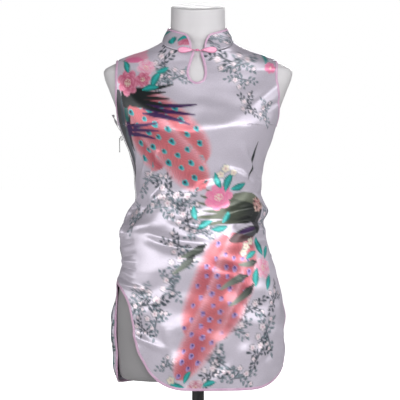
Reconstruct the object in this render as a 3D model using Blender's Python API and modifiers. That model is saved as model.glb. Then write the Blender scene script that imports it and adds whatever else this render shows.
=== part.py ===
"""A sleeveless mini cheongsam worn by a limbless dress form on a short counter stand.

The tables are in millimetres and degrees, and the meshes in metres. +Z is up, the dress's front faces -Y, and its
wearer's right side is at -X. The origin is on the floor, in the middle of the stand's base. An angle of 0 is at the
centre front, +90 at the +X side, 180 at the centre back and -90 at the -X side.
"""

import math

import bmesh
import bpy
import numpy as np

MM = 0.001

CLOTH_WALL = 1.5  # satin with its seam allowances and facings
SEAM_GAP = 0.3  # between two pieces that meet
ARMHOLE_GAP = 0.8  # below an armhole's binding, where the cloth turns sharply over the shoulder's tip
BINDING_WALL = 1.0
BINDING_LIP = 0.9  # how far a binding reaches past the edge that it covers
BINDING_WIDTH = 6.5
KEYHOLE_WIDTH = 5.0  # of the keyhole's binding
SIDE_CELL = 3.25  # degrees for a binding's width at a side edge
WIDEST_CELL = 7.0  # degrees for it further round to the front
REST_CLEARANCE = 1.1  # from the dress form to the cloth that lies on it
SHOULDER_CLEARANCE = 1.9  # the same on the shoulders' slope, measured level
SLOPE_FROM = 840.0  # height where the clearance starts to grow towards the shoulders' slope
SLOPE_RUN = 30.0  # over how much height it does
MERGE = 0.00005  # metres, for the points that a modifier makes one

FRONT_COLUMNS = 14  # cells from the centre front to a side seam
BACK_COLUMNS = 20  # cells from one side seam to the other
FORM_COLUMNS = 34
CORNER_FROM = 496.0  # height below which a panel's rows run level and turn down round its lower corners
FRONT_TURN = 80.0  # degrees: a slit edge nearer the front than this has a cell that widens with the turn
LEAST_DEPTH = 45.0  # for that cell's width in degrees
SHOULDER_POINT = 920.0  # height where the shoulder seam meets the collar
SHOULDER_TIP = 881.0  # height where the shoulder seam meets the armhole
ARMHOLE_BOTTOM = 752.0
FRONT_NECK = 899.0  # height of the neckline at the centre front
BACK_NECK = 917.0
KEYHOLE_BOTTOM = 836.0
KEYHOLE_LEAN = 2.0  # how far its bottom lies towards -X
KEYHOLE_LEAN_RUN = 80.0  # over how much height below it the middle line comes back to the centre
SLIT_TOP = 436.0
HEM = 217.0

# The upper rows of each panel, from the neckline down to the keyhole's bottom: the height at the centre and at the
# side, where they close up towards the shoulder's tip.
FRONT_UPPER_ROWS = [
    # centre, side
    (FRONT_NECK, SHOULDER_POINT),
    (892, 909.5),
    (881, 895),
    (872, SHOULDER_TIP),
    (864, 879),
    (858, 874.5),
    (851, 865),
    (845, 851),
    (840, 843),
    (837.3, 838.5),
    (KEYHOLE_BOTTOM, KEYHOLE_BOTTOM),
]
BACK_UPPER_ROWS = [
    # centre, side
    (BACK_NECK, SHOULDER_POINT),
    (907, 908.5),
    (893, 895),
    (880, SHOULDER_TIP),
    (875, 879),
    (869, 874.5),
    (860, 865),
    (848, 851),
    (842, 843),
    (838, 838.5),
    (KEYHOLE_BOTTOM, KEYHOLE_BOTTOM),
]
ARMHOLE_ROWS = [KEYHOLE_BOTTOM - 5, 812, 792, 775, 763, 756]
BODY_ROWS = [
    *(ARMHOLE_BOTTOM, 743, 730, 711, 690, 669, 648, 626, 604, 583, 563, 543, 522, 500, 478, 457, SLIT_TOP),
]
ARMHOLE_STATIONS = [879, 874.5, 871, 868, 865, 862, 858, 851, 838, 824, 808, 792, 775, 763, 756, 753]
LIP_START = 4  # rows below a slit's top where the two edges are far enough apart for their bindings' lips
SLIT_ROWS = [432, 427, 420, 410, 395, 376, 354, 330, 306, 283, 262, 242]

NECK_TILT = 0.17  # rise of the neck's flat cap per unit towards the back
NECK_LEAN_FROM = 950.0  # height from which the neck's rings lean over to it
FORM_BOTTOM = 230.0

# The dress form, a row for each height: half width, depth to the front and to the back, and the squareness of the
# outline, 2 being an ellipse.
FORM = [
    # height, half_width, front, back, squareness
    (992, 55.0, 52, 60, 2.0),
    (965, 55.5, 49, 61, 2.0),
    (940, 57.0, 46, 64, 2.0),
    (926, 58.5, 45, 67, 2.0),
    (917, 64.0, 44, 72, 2.0),
    (908, 80.0, 46, 80, 2.05),
    (900, 103, 49, 86, 2.1),
    (892, 125, 53, 91, 2.15),
    (885, 146, 57, 94, 2.2),
    (879, 162, 60, 97, 2.3),
    (872, 177, 64, 99, 2.4),
    (865, 189, 68, 101, 2.5),
    (858, 193, 71, 102, 2.5),
    (846, 191, 77, 104, 2.5),
    (822, 182, 88, 105, 2.45),
    (785, 168, 102, 104, 2.4),
    (752, 157.5, 109, 101, 2.3),
    (724, 149, 107, 96, 2.3),
    (687, 134, 98, 88, 2.2),
    (650, 124.5, 90, 80, 2.15),
    (610, 121, 86, 75.5, 2.1),
    (575, 123, 88, 78, 2.1),
    (540, 128.5, 94, 87, 2.15),
    (500, 138, 101, 101, 2.2),
    (455, 151, 106, 114, 2.25),
    (410, 163, 105.5, 121, 2.3),
    (360, 170, 103, 121, 2.3),
    (310, 171, 100, 115, 2.3),
    (262, 168, 98, 108, 2.3),
    (244, 163, 94, 103, 2.3),
    (234, 156, 88, 97, 2.3),
    (FORM_BOTTOM, 148, 80, 89, 2.3),
]

# Heights of the form's rings, closest where the shoulders round over into the arms' stubs.
FORM_RINGS = [
    *(992, 978, 962, 945, 933, 924, 917, 910, 903, 896, 889, 882, 875, 868, 861, 853, 842, 826, 806),
    *(784, 762, 740, 716, 690, 662, 632, 600, 566, 530, 490, 447, 400, 350, 300, 266, 247, 237, 232, FORM_BOTTOM),
]

# The outside of the dress, a row for each height, with the wearer's right (-X) and left (+X) half widths apart,
# because it hangs pulled to one side.
CLOTH = [
    # height, right_half, left_half, front, back, squareness
    (926, 69.0, 68.0, 52.5, 79, 2.0),
    (920, 74.0, 73.0, 54, 82, 2.0),
    (912, 87.0, 84.5, 55.5, 86, 2.05),
    (901, 111, 108, 57.5, 91, 2.1),
    (894, 134, 131, 59.5, 94, 2.15),
    (887, 153, 149, 62, 97, 2.2),
    (SHOULDER_TIP, 167, 163, 64.5, 100, 2.3),
    (872, 182, 182, 68, 103, 2.4),
    (860, 196.5, 196.5, 74, 106, 2.5),
    (846, 195, 195, 81, 108, 2.5),
    (822, 186, 186, 93, 109, 2.5),
    (785, 173.5, 172, 108, 108.5, 2.5),
    (ARMHOLE_BOTTOM, 163, 162, 115, 106, 2.45),
    (736, 156.5, 156, 116, 104, 2.4),
    (711, 144, 147, 113.5, 100.5, 2.35),
    (687, 137.5, 139, 109, 97.5, 2.3),
    (662, 131, 133, 104, 95, 2.2),
    (637, 127.5, 129, 100, 93, 2.2),
    (613, 127, 129, 97.5, 92.5, 2.15),
    (588, 127.5, 137, 97, 94, 2.15),
    (572, 135, 140.5, 98, 96, 2.15),
    (553, 145, 133, 100, 99, 2.2),
    (528, 159, 138, 103.5, 103, 2.2),
    (502, 158.5, 143.5, 107.5, 107.5, 2.25),
    (478, 157, 149.5, 110.5, 112.5, 2.25),
    (453, 160, 158, 113, 118.5, 2.3),
    (428, 166, 165.5, 114, 124, 2.3),
    (392, 172.5, 172.5, 114, 128.5, 2.35),
    (355, 178, 177.5, 115, 130.5, 2.35),
    (305, 178.5, 178, 115, 130, 2.35),
    (262, 176, 176, 114, 128, 2.35),
    (244, 172, 171.5, 113, 126.5, 2.35),
    (HEM - 2, 163, 163, 111, 124, 2.35),
]

# The armhole's edge, seen from the front.
ARMHOLE = [
    # height, right_reach, left_reach
    (SHOULDER_TIP, 166.2, 162.8),
    (842, 168, 161),
    (804, 167.5, 165),
    (777, 165, 164.5),
    (ARMHOLE_BOTTOM, 162, 161),
]

# The keyhole below the collar, seen from the front: the two edges of the opening.
KEYHOLE = [
    # height, right_edge, left_edge
    (901, -6, 5),
    (892, -9.4, 6.6),
    (880, -13.3, 10.3),
    (868, -17, 12.7),
    (856, -19.3, 14),
    (846.5, -17, 12.6),
    (840, -11.8, 8.2),
    (KEYHOLE_BOTTOM, -2, -2),
]

# The side edges of the front and the back, as angles. The -X slit is pulled wide open and the +X one hangs nearly
# shut. Below its last row an edge turns round its corner into the hem.
RIGHT_EDGES = [
    # height, front_edge, back_edge
    (ARMHOLE_BOTTOM, -90, -90),
    (SLIT_TOP, -90, -90),
    (432, -84, -89.5),
    (427, -75, -88),
    (418, -65, -84),
    (405, -57, -79.5),
    (382, -50, -75),
    (355, -46.5, -72.5),
    (326, -44.5, -71.5),
    (300, -41.5, -70.5),
    (276, -38, -70),
    (258, -34.5, -71),
    (236, -28.5, -77),
]
LEFT_EDGES = [
    # height, front_edge, back_edge
    (ARMHOLE_BOTTOM, 90, 90),
    (600, 92, 92),
    (SLIT_TOP, 96, 96),
    (410, 95.5, 98.5),
    (360, 95, 102),
    (300, 92, 104),
    (275, 85, 105),
    (258, 77, 106.5),
    (232, 63.5, 112),
]
# How sharply the hem row rises to each corner: the power of its curve.
CORNER_POWERS = {"front_right": 3.3, "front_left": 6.5, "back_right": 6.0, "back_left": 6.0}

# Folds, as a soft ridge (or a trough, with a height below 0) along a curve through a start, towards a bend, to an
# end. x and height are seen from the front, or through the dress for those on the back.
FOLDS = [
    # face, x0, height0, x1, height1, x2, height2, half_width, rise
    ("front", -50, 705, -92, 690, -90, 640, 13, 4.5),
    ("front", -90, 645, -98, 620, -134, 575, 14, 7.0),
    ("front", -72, 668, -78, 610, -112, 560, 16, -3.5),
    ("front", 80, 712, 93, 676, 126, 624, 9, 5.0),
    ("front", 141, 577, 105, 590, 62, 572, 13, 5.0),
    ("front", 130, 552, 104, 566, 72, 552, 11, -3.5),
    ("front", 138, 536, 112, 545, 82, 530, 12, 4.0),
    ("front", -100, 536, -60, 516, 14, 514, 12, 3.5),
    ("front", -40, 596, 0, 622, 40, 628, 16, 3.5),
    ("front", 10, 745, 50, 752, 100, 742, 16, 3.0),
    ("front", -52, 318, -46, 270, -36, 217, 13, 4.5),
    ("front", -84, 300, -72, 262, -66, 240, 10, -4.0),
    ("front", 50, 250, 90, 285, 128, 345, 14, 4.5),
    ("front", 84, 236, 110, 262, 150, 300, 10, -4.0),
    ("back", -104, 604, 0, 584, 100, 606, 12, 5.0),
    ("back", -92, 562, 0, 548, 88, 560, 12, 4.0),
    ("back", -58, 705, -92, 650, -118, 596, 9, 4.5),
    ("back", 62, 700, 98, 650, 120, 602, 9, 4.5),
    ("back", -62, 430, -78, 320, -84, 215, 16, 4.5),
    ("back", 48, 430, 66, 310, 70, 215, 16, 4.5),
    ("back", -6, 380, -14, 300, -10, 215, 18, -3.5),
]
UNROLLED = 2.3  # level millimetres of cloth per degree, for measuring along and across a fold

# The two soft mounds of the bust: angle from the centre front, height, spread in degrees, up and down, and rise.
BUST_ANGLE = 39.0
BUST_HEIGHT = 748.0
BUST_SPREAD = 20.0
BUST_UP = 62.0
BUST_DOWN = 46.0
BUST_RISE = 8.5
CLOTH_BUST_SHARE = 0.8  # of the form's rise, in the cloth that spans it
CLOTH_BUST_SPREAD = 1.25 * BUST_SPREAD

COLLAR_TOP = [
    # angle, height of the collar's top edge
    (0, 934),
    (30, 937),
    (60, 943),
    (90, 947),
    (135, 951),
    (180, 953),
]
COLLAR_END = 8.0  # half the gap between the collar's two front ends
COLLAR_ROUND = 24.0  # how far from its end the collar's top edge starts to turn down
COLLAR_STANDOFF = 3.0  # from the neck to the collar's top edge
COLLAR_RADIUS = 60.0  # of the turn from lengths at its ends into degrees
COLLAR_LOW_END = 0.2  # share of its height that its ends keep
COLLAR_BULGE = 1.5
COLLAR_FOOT = 0.5  # how far its foot lies over the neckline
COLLAR_COLUMNS = [6, 13, 21]  # degrees past an end, where its top edge turns down

FROG_LENGTH = 28.0
FROG_WIDTH = 12.0
FROG_THICKNESS = 3.0
FROG_HEIGHT = 905.0
FROG_INNER_END = 11.0  # from the centre front to a leaf's inner tip
FROG_PLUMPNESS = 1.12  # of a leaf's outline
FROG_LEAN = 0.10  # how much further out its lower edge lies, a millimetre of height
FROG_SEAT = 1.1  # from the cloth to its foot, past a seam's gap
FROG_LEAST_DEPTH = 49.5  # from the middle, where the cloth falls away towards the keyhole
KNOT_DEPTH = 58.9  # from the middle to the cord's line
CORD_RADIUS = 1.1

ZIP_WIDTH = 6.0
ZIP_WALL = 0.8
ZIP_BOTTOM = 470.0
ZIP_FREE_END = [(-174.5, 771), (-168.2, 756), (-163.8, 745)]  # x and height down the tape's open upper end
PULL_PIVOT = (-160.6, 722.0)  # x and height of the pull tab's hinge
PULL_LENGTH = 27.0
PULL_WIDTH = 4.4
PULL_WALL = 1.2
SLIDER_SIZE = (4.5, 7.0, 9.5)
SLIDER_OFFSET = (3.75, 1.5)  # x and height from the pivot to its middle
SLIDER_TILT = -14.0
SLIDER_EDGE = 0.6
TAPE_SEAT = 0.35  # from the cloth to the tape, past a seam's gap
TAPE_TOP = 742.0  # below which the tape lies on the cloth

BASE_RADIUS = 150.0
BASE_THICKNESS = 8.0
HUB_RADIUS = 26.0
HUB_HEIGHT = 18.0
POLE_RADIUS = 12.5
FLANGE_RADIUS = 38.0
FLANGE_THICKNESS = 4.0
ROUND_STEPS = 48
THIN_STEPS = 32

SATIN = ("printed_satin", (0.73, 0.70, 0.76, 1), 0.34, 0.0)
PINK = ("pink_satin_binding", (0.86, 0.50, 0.63, 1), 0.38, 0.0)
FROG_PINK = ("pink_frog_satin", (0.93, 0.50, 0.66, 1), 0.42, 0.0)
TAPE = ("zip_tape_grey", (0.50, 0.50, 0.52, 1), 0.8, 0.0)
ZIP_METAL = ("zip_metal", (0.55, 0.55, 0.56, 1), 0.35, 0.9)
SHELL = ("form_shell", (0.80, 0.79, 0.78, 1), 0.5, 0.0)
BLACK = ("stand_black", (0.02, 0.02, 0.02, 1), 0.4, 0.4)


# ---------------------------------------------------------------- curves and sections


def smooth(table, column):
    """A curve of that column over the table's heights, through every row and with no overshoot between them."""
    rows = sorted(table)
    x = np.array([row[0] for row in rows], float)
    y = np.array([row[column] for row in rows], float)
    step = np.diff(x)
    slope = np.diff(y) / step
    rising = slope[1:] * slope[:-1]
    middle = np.where(rising > 0, 2 * rising / np.where(rising > 0, slope[1:] + slope[:-1], 1), 0)
    tangent = np.concatenate([slope[:1], middle, slope[-1:]])

    def at(height):
        i = np.clip(np.searchsorted(x, height) - 1, 0, len(step) - 1)
        u = np.clip((height - x[i]) / step[i], 0, 1)
        return (
            y[i] * (1 + 2 * u) * (1 - u) ** 2
            + tangent[i] * step[i] * u * (1 - u) ** 2
            + y[i + 1] * (3 - 2 * u) * u**2
            - tangent[i + 1] * step[i] * (1 - u) * u**2
        )

    return at


FORM_AT = [smooth(FORM, column) for column in (1, 1, 2, 3, 4)]
CLOTH_AT = [smooth(CLOTH, column) for column in (1, 2, 3, 4, 5)]
ARMHOLE_AT = [smooth(ARMHOLE, column) for column in (1, 2)]
KEYHOLE_AT = [smooth(KEYHOLE, column) for column in (1, 2)]
COLLAR_TOP_AT = smooth(COLLAR_TOP, 1)


def half_axes(section, angle, height):
    """The half width and the depth that hold on that side of a section, and its squareness."""
    right, left, front, back, squareness = (curve(height) for curve in section)
    across = np.where(np.sin(angle) < 0, right, left)
    along = np.where(np.cos(angle) > 0, front, back)
    return across, along, squareness


def outline(section, angle, height):
    """The point of a section at an angle: an ellipse's, moved out to the section's squareness."""
    across, along, squareness = half_axes(section, angle, height)
    s, c = np.sin(angle), np.cos(angle)
    out = (np.abs(s) ** squareness + np.abs(c) ** squareness) ** (-1 / squareness)
    return across * s * out, -along * c * out


def reach(section, x, y, height):
    """How far a section reaches from its middle in the direction of a point."""
    direction = np.arctan2(x, -y)
    across, along, squareness = half_axes(section, direction, height)
    s, c = np.sin(direction), np.cos(direction)
    return (np.abs(s / across) ** squareness + np.abs(c / along) ** squareness) ** (-1 / squareness)


def bust(angle, height, spread):
    """The rise of the bust's two mounds, softer above than below."""
    up = np.where(height > BUST_HEIGHT, BUST_UP, BUST_DOWN)
    level = np.degrees(np.arctan2(np.sin(angle), np.cos(angle)))
    tall = np.exp(-(((height - BUST_HEIGHT) / up) ** 2))
    sides = sum(np.exp(-(((level - side * BUST_ANGLE) / spread) ** 2)) for side in (-1, 1))
    return BUST_RISE * tall * sides


def form_point(angle, height):
    """A point of the dress form."""
    x, y = outline(FORM_AT, angle, height)
    scale = 1 + bust(np.arctan2(x, -y), height, BUST_SPREAD) / np.hypot(x, y)
    return np.stack([x * scale, y * scale, height + 0 * x], axis=-1)


def fold_rise(angle, height):
    """The sum of the folds at a point of the cloth: a bell across each one, fading towards its ends."""
    level = np.degrees(np.arctan2(np.sin(angle), np.cos(angle)))
    u = np.linspace(0, 1, 25)
    total = np.zeros(np.shape(level))
    for face, x0, h0, x1, h1, x2, h2, half_width, rise in FOLDS:
        x = (1 - u) ** 2 * x0 + 2 * u * (1 - u) * x1 + u**2 * x2
        h = (1 - u) ** 2 * h0 + 2 * u * (1 - u) * h1 + u**2 * h2
        half = np.where(x < 0, CLOTH_AT[0](h), CLOTH_AT[1](h))
        turn = np.degrees(np.arcsin(np.clip(x / half, -1, 1)))
        if face == "back":
            turn = np.where(turn < 0, -180 - turn, 180 - turn)
        gap = (level[..., None] - turn + 180) % 360 - 180
        away = (gap * UNROLLED) ** 2 + (height[..., None] - h) ** 2
        fade = np.sqrt(np.clip(4 * u * (1 - u) + 0.12, 0, 1))
        total = total + rise * (fade * np.exp(-away / half_width**2)).max(axis=-1)
    return total


def cloth_point(angle, height):
    """A point of the cloth's inner face: its section with the bust and the folds, never closer to the dress form
    than its clearance."""
    x, y = outline(CLOTH_AT, angle, height)
    far = np.hypot(x, y)
    direction = np.arctan2(x, -y)
    mounds = CLOTH_BUST_SHARE * bust(direction, height, CLOTH_BUST_SPREAD)
    wanted = far - CLOTH_WALL + mounds + fold_rise(angle, height)
    slope = np.clip((height - SLOPE_FROM) / SLOPE_RUN, 0, 1)
    clear = REST_CLEARANCE + (SHOULDER_CLEARANCE - REST_CLEARANCE) * slope
    least = reach(FORM_AT, x, y, height) + bust(direction, height, BUST_SPREAD) + clear
    held = least + np.logaddexp(0, wanted - least)
    return np.stack([x * held / far, y * held / far, height + 0 * x], axis=-1)


def cloth_normal(angle, height):
    """The outward direction of the smooth cloth at a point."""
    here = cloth_point(angle, height)
    along = cloth_point(angle + 0.004, height) - here
    up = cloth_point(angle, height + 0.5) - here
    out = np.cross(along, up)
    return out / np.linalg.norm(out, axis=-1, keepdims=True)


def armhole_angle(height, side):
    """The angle at which the section reaches the armhole's edge, or 90 where there is no armhole."""
    reach_x = ARMHOLE_AT[0 if side < 0 else 1](height)
    low, high = np.zeros_like(height), np.full_like(height, math.pi / 2)
    for _ in range(40):
        middle = (low + high) / 2
        inside = np.abs(outline(CLOTH_AT, side * middle, height)[0]) < reach_x
        low, high = np.where(inside, middle, low), np.where(inside, high, middle)
    open_here = (height < SHOULDER_TIP - 0.05) & (height > ARMHOLE_BOTTOM + 0.05)
    return np.where(open_here, np.degrees(low), 90.0)


# ---------------------------------------------------------------- objects


def material(look):
    name, colour, roughness, metallic = look
    made = bpy.data.materials.get(name)
    if made is None:
        made = bpy.data.materials.new(name)
        made.use_nodes = True
        shader = made.node_tree.nodes["Principled BSDF"]
        shader.inputs["Base Color"].default_value = colour
        shader.inputs["Roughness"].default_value = roughness
        shader.inputs["Metallic"].default_value = metallic
        made.diffuse_color = colour
    return made


def add_object(name, mesh, look, collection):
    mesh.materials.clear()
    mesh.materials.append(material(look))
    made = bpy.data.objects.new(name, mesh)
    collection.objects.link(made)
    return made


def surface_object(name, points, faces, look, collection, wall=0.0):
    """A mesh of those points (in millimetres) and faces, thickened outwards by a wall."""
    mesh = bpy.data.meshes.new(name)
    mesh.from_pydata((np.asarray(points) * MM).tolist(), [], [list(map(int, face)) for face in faces])
    mesh.shade_smooth()
    made = add_object(name, mesh, look, collection)
    if wall:
        shell = made.modifiers.new("wall", "SOLIDIFY")
        shell.thickness = wall * MM
        shell.offset = 1
    return made


def joined(pieces, within):
    """The points and faces of several pieces as one, with points closer than a distance made one."""
    points, faces = [], []
    for piece_points, piece_faces in pieces:
        place = []
        for point in piece_points:
            near = [i for i, other in enumerate(points) if np.abs(other - point).max() < within]
            place.append(near[0] if near else len(points))
            if not near:
                points.append(point)
        faces += [[place[vertex] for vertex in face] for face in piece_faces]
    return np.array(points), faces


def wall_object(name, inner, outer, faces, look, collection):
    """A closed wall between an inner and an outer face of the same cells, with a rim round every open edge."""
    count = len(inner)
    edges = {(a, b) for face in faces for a, b in zip(face, [*face[1:], face[0]])}
    rim = [[a, a + count, b + count, b][::-1] for a, b in edges if (b, a) not in edges]
    shell = [[vertex + count for vertex in face] for face in faces]
    shell += [face[::-1] for face in faces]
    return surface_object(name, np.concatenate([inner, outer]), shell + sorted(rim), look, collection)


class Sheet:
    """A grid of points and its faces. Rows run down and columns run from -X to +X, seen from outside."""

    def __init__(self, points, normals=None):
        self.rows, self.columns = points.shape[:2]
        self.points = points.reshape(-1, 3)
        if normals is not None:
            self.normals = normals.reshape(-1, 3)
            return
        self.normals = np.zeros_like(self.points)
        for face in self.all_faces():
            a, b, c, d = self.points[face]
            self.normals[face] += np.cross(c - a, d - b)
        self.normals /= np.linalg.norm(self.normals, axis=1)[:, None]

    def vertex(self, row, column):
        return (row % self.rows) * self.columns + column % self.columns

    def faces(self, rows, columns):
        """The cells in those rows and columns, each from its upper left corner downwards."""
        return [
            [
                self.vertex(row, column),
                self.vertex(row + 1, column),
                self.vertex(row + 1, column + 1),
                self.vertex(row, column + 1),
            ]
            for row in rows
            for column in columns
        ]

    def all_faces(self):
        return self.faces(range(self.rows - 1), range(self.columns - 1))

    def raised(self, distance):
        return self.points + self.normals * distance


def moved_out(sheet, cells, edge, gap=SEAM_GAP):
    """Those cells of a sheet, moved out past the cloth's wall and a gap. edge lists the (vertex, inner vertex)
    pairs that reach a lip past the cloth."""
    moved = sheet.raised(CLOTH_WALL + gap)
    for vertex, inner in edge:
        away = sheet.points[vertex] - sheet.points[inner]
        moved[vertex] += away / np.linalg.norm(away) * BINDING_LIP
    used = sorted({vertex for cell in cells for vertex in cell})
    place = {vertex: i for i, vertex in enumerate(used)}
    return moved[used], [[place[vertex] for vertex in cell] for cell in cells]


def binding(name, pieces, collection, within=0.01):
    points, faces = joined(pieces, within)
    surface_object(name, points, faces, PINK, collection, wall=BINDING_WALL)


def armhole_binding(name, side, collection):
    """A closed ring over the armhole's edge: points down the front and up the back, each with an inner one a
    binding's width into the cloth."""
    heights = np.array([SHOULDER_TIP, *ARMHOLE_STATIONS, ARMHOLE_BOTTOM], float)
    turn = side * np.radians(armhole_angle(heights, side))
    behind = side * math.pi - turn[-2:0:-1]
    turn = np.concatenate([turn, behind])
    heights = np.concatenate([heights, heights[-2:0:-1]])
    edge, normal = cloth_point(turn, heights), cloth_normal(turn, heights)
    tangent = np.roll(edge, -1, axis=0) - np.roll(edge, 1, axis=0)
    into = -side * np.cross(normal, tangent)
    into /= np.linalg.norm(into, axis=1)[:, None]
    aside = edge + into * BINDING_WIDTH
    direction = np.arctan2(aside[:, 0], -aside[:, 1])
    half, depth, _ = half_axes(CLOTH_AT, direction, aside[:, 2])
    inner_turn = np.arctan2(aside[:, 0] / half, -aside[:, 1] / depth)
    inner, inner_normal = cloth_point(inner_turn, aside[:, 2]), cloth_normal(inner_turn, aside[:, 2])
    lift = CLOTH_WALL + ARMHOLE_GAP
    outer_row = edge + normal * lift - into * BINDING_LIP
    inner_row = inner + inner_normal * lift
    count = len(edge)
    faces = [[i, (i + 1) % count, count + (i + 1) % count, count + i][::-side] for i in range(count)]
    surface_object(name, np.concatenate([outer_row, inner_row]), faces, PINK, collection, wall=BINDING_WALL)


# ---------------------------------------------------------------- the dress


def blend_rows(centre, side, s, power):
    """The height along a row: its centre's, rising to its side's, gently at the neck and round a corner at the
    hem (power is a number there and None above)."""
    if power is None:
        return centre + (side - centre) * np.sin(s * math.pi / 2) ** 2
    return centre + (side - centre) * s**power


def row_heights(upper):
    """The heights of a panel's rows at its centre and at its side edge, from the neckline down to the hem."""
    down = np.concatenate(
        [
            ARMHOLE_ROWS,
            BODY_ROWS,
            SLIT_ROWS,
            [HEM + BINDING_WIDTH, HEM],
        ]
    )
    centre, side = np.array(upper, float).T
    return np.concatenate([centre, down]), np.concatenate([side, down])


def lowered(heights, corner):
    """Side heights of the rows below the slit's top, squeezed so that the last one ends at the corner."""
    share = np.clip((SLIT_TOP - heights) / (SLIT_TOP - HEM), 0, None)
    return np.where(heights < SLIT_TOP, SLIT_TOP - share * (SLIT_TOP - corner), heights)


def edge_angles(heights, edges, column, side):
    """A panel's side edge: the shoulder ridge, the armhole, the side seam and the slit."""
    seam = smooth([row for row in edges if row[0] >= SLIT_TOP], 1)(heights)
    angles = np.where(heights > SLIT_TOP, seam, smooth(edges, column)(heights))
    upper = heights >= ARMHOLE_BOTTOM - 0.01
    arm = armhole_angle(heights, side)
    if column == 2:
        arm = 180 - arm
    return np.where(upper, side * arm, angles)


def seam_inset(sheet_angle, height):
    """Degrees for half a seam gap at a place on the cloth."""
    x, y = outline(CLOTH_AT, sheet_angle, height)
    return np.degrees(SEAM_GAP * 0.75 / np.hypot(x, y) * np.where(height > SHOULDER_TIP, 2.2, 1.0))


def strip_columns(inner, outer, edge_cell, count, first_cell=0.0):
    """Angles across a strip of cloth: even, but for a last cell, and a first one if asked for, as wide as a
    binding."""
    way = np.sign(outer - inner)
    last = outer - way * edge_cell
    if first_cell:
        start = inner + way * first_cell
        return np.concatenate([[inner], start + (last - start) * np.linspace(0, 1, count - 1), [outer]])
    return np.append(inner + (last - inner) * np.linspace(0, 1, count), outer)


def half_front(side):
    """The grid of one half of the front, from its side edge to the centre front (or to the keyhole's edge)."""
    edges = RIGHT_EDGES if side < 0 else LEFT_EDGES
    power = CORNER_POWERS["front_right" if side < 0 else "front_left"]
    centre, side_rows = row_heights(FRONT_UPPER_ROWS)
    side_rows = lowered(side_rows, edges[-1][0])
    outer = edge_angles(side_rows, edges, 1, side)
    rows, normals = [], []
    for mid, low, turn in zip(centre, side_rows, outer):
        angle = math.radians(turn)
        turn -= side * float(seam_inset(np.array(angle), np.array(low)))
        _, y = outline(CLOTH_AT, np.array(angle), np.array(low))
        cell = SIDE_CELL
        if abs(turn) < FRONT_TURN:
            cell = min(math.degrees(BINDING_WIDTH / max(abs(y), LEAST_DEPTH)), WIDEST_CELL)
        inner = 0.0
        if mid > KEYHOLE_BOTTOM:
            half = float(CLOTH_AT[0 if side < 0 else 1](mid))
            inner = math.degrees(math.asin(float(KEYHOLE_AT[0 if side < 0 else 1](mid)) / half))
        elif mid > KEYHOLE_BOTTOM - KEYHOLE_LEAN_RUN:
            share = (mid - KEYHOLE_BOTTOM + KEYHOLE_LEAN_RUN) / KEYHOLE_LEAN_RUN
            inner = -math.degrees(KEYHOLE_LEAN / 190) * share
        first = math.degrees(KEYHOLE_WIDTH / float(CLOTH_AT[1](max(mid, KEYHOLE_BOTTOM))))
        angles = strip_columns(inner, turn, cell, FRONT_COLUMNS, first)
        share = (angles - angles[0]) / (angles[-1] - angles[0])
        heights = blend_rows(mid, low, share, power if mid < CORNER_FROM else None)
        order = 1 if side > 0 else -1
        rows.append(cloth_point(np.radians(angles), heights)[::order])
        normals.append(cloth_normal(np.radians(angles), heights)[::order])
    return Sheet(np.array(rows), np.array(normals))


def back_grid():
    """The grid of the back, from its -X edge round to its +X edge."""
    centre, side_rows = row_heights(BACK_UPPER_ROWS)
    ends = []
    for side, edges in ((-1, RIGHT_EDGES), (1, LEFT_EDGES)):
        low = lowered(side_rows, edges[-1][0])
        ends.append((low, edge_angles(low, edges, 2, side)))
    rows, normals = [], []
    for j, mid in enumerate(centre):
        places = []
        for side, (low, turns) in zip((-1, 1), ends):
            power = CORNER_POWERS["back_right" if side < 0 else "back_left"]
            turn = turns[j] + side * float(seam_inset(np.radians(turns[j]), low[j]))
            angles = strip_columns(side * 180.0, turn, SIDE_CELL, BACK_COLUMNS // 2)
            share = (angles - angles[0]) / (angles[-1] - angles[0])
            heights = blend_rows(mid, low[j], share, power if mid < CORNER_FROM else None)
            places.append((np.radians(angles), heights))
        (right_angles, right_heights), (left_angles, left_heights) = places
        angles = np.concatenate([left_angles[::-1], right_angles[1:]])
        heights = np.concatenate([left_heights[::-1], right_heights[1:]])
        rows.append(cloth_point(angles, heights))
        normals.append(cloth_normal(angles, heights))
    return Sheet(np.array(rows), np.array(normals))


def collar_grid():
    """The collar's inner face from its +X front end round the back to its -X front end, top row first."""
    end = math.degrees(COLLAR_END / COLLAR_RADIUS)
    half = np.concatenate([[end], [end + column for column in COLLAR_COLUMNS], np.linspace(41, 180, 13)])
    turns = np.concatenate([half, 360 - half[-2::-1]])
    rows = []
    for turn in turns:
        level = abs((turn + 180) % 360 - 180)
        angle = np.array(math.radians(turn))
        lift = math.sin(math.radians(min(level, 90))) ** 2
        neck = BACK_NECK if level > 90 else FRONT_NECK
        seam = neck + (SHOULDER_POINT - neck) * lift
        foot = cloth_point(angle, np.array(seam))
        level_out = foot[:2] / np.hypot(*foot[:2])
        foot[:2] -= level_out * (CLOTH_WALL + 2 * SEAM_GAP)
        foot[2] += COLLAR_FOOT
        top_height = float(COLLAR_TOP_AT(level))
        x, y = outline(FORM_AT, angle, np.array(top_height))
        far = math.hypot(x, y)
        top = np.array([x, y, 0]) * (far + COLLAR_STANDOFF) / far
        top[2] = top_height
        from_end = (level - end) / 57.3 * 62
        rise = 1.0
        if from_end < COLLAR_ROUND:
            turned_down = math.sqrt(1 - (1 - max(from_end, 0) / COLLAR_ROUND) ** 2)
            rise = COLLAR_LOW_END + (1 - COLLAR_LOW_END) * turned_down
        share = np.linspace(rise, 0, 4)[:, None]
        column = foot + (top - foot) * share
        column[:, :2] += level_out * (COLLAR_BULGE * np.sin(share * math.pi))
        rows.append(column)
    return np.array(rows).transpose(1, 0, 2)


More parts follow.
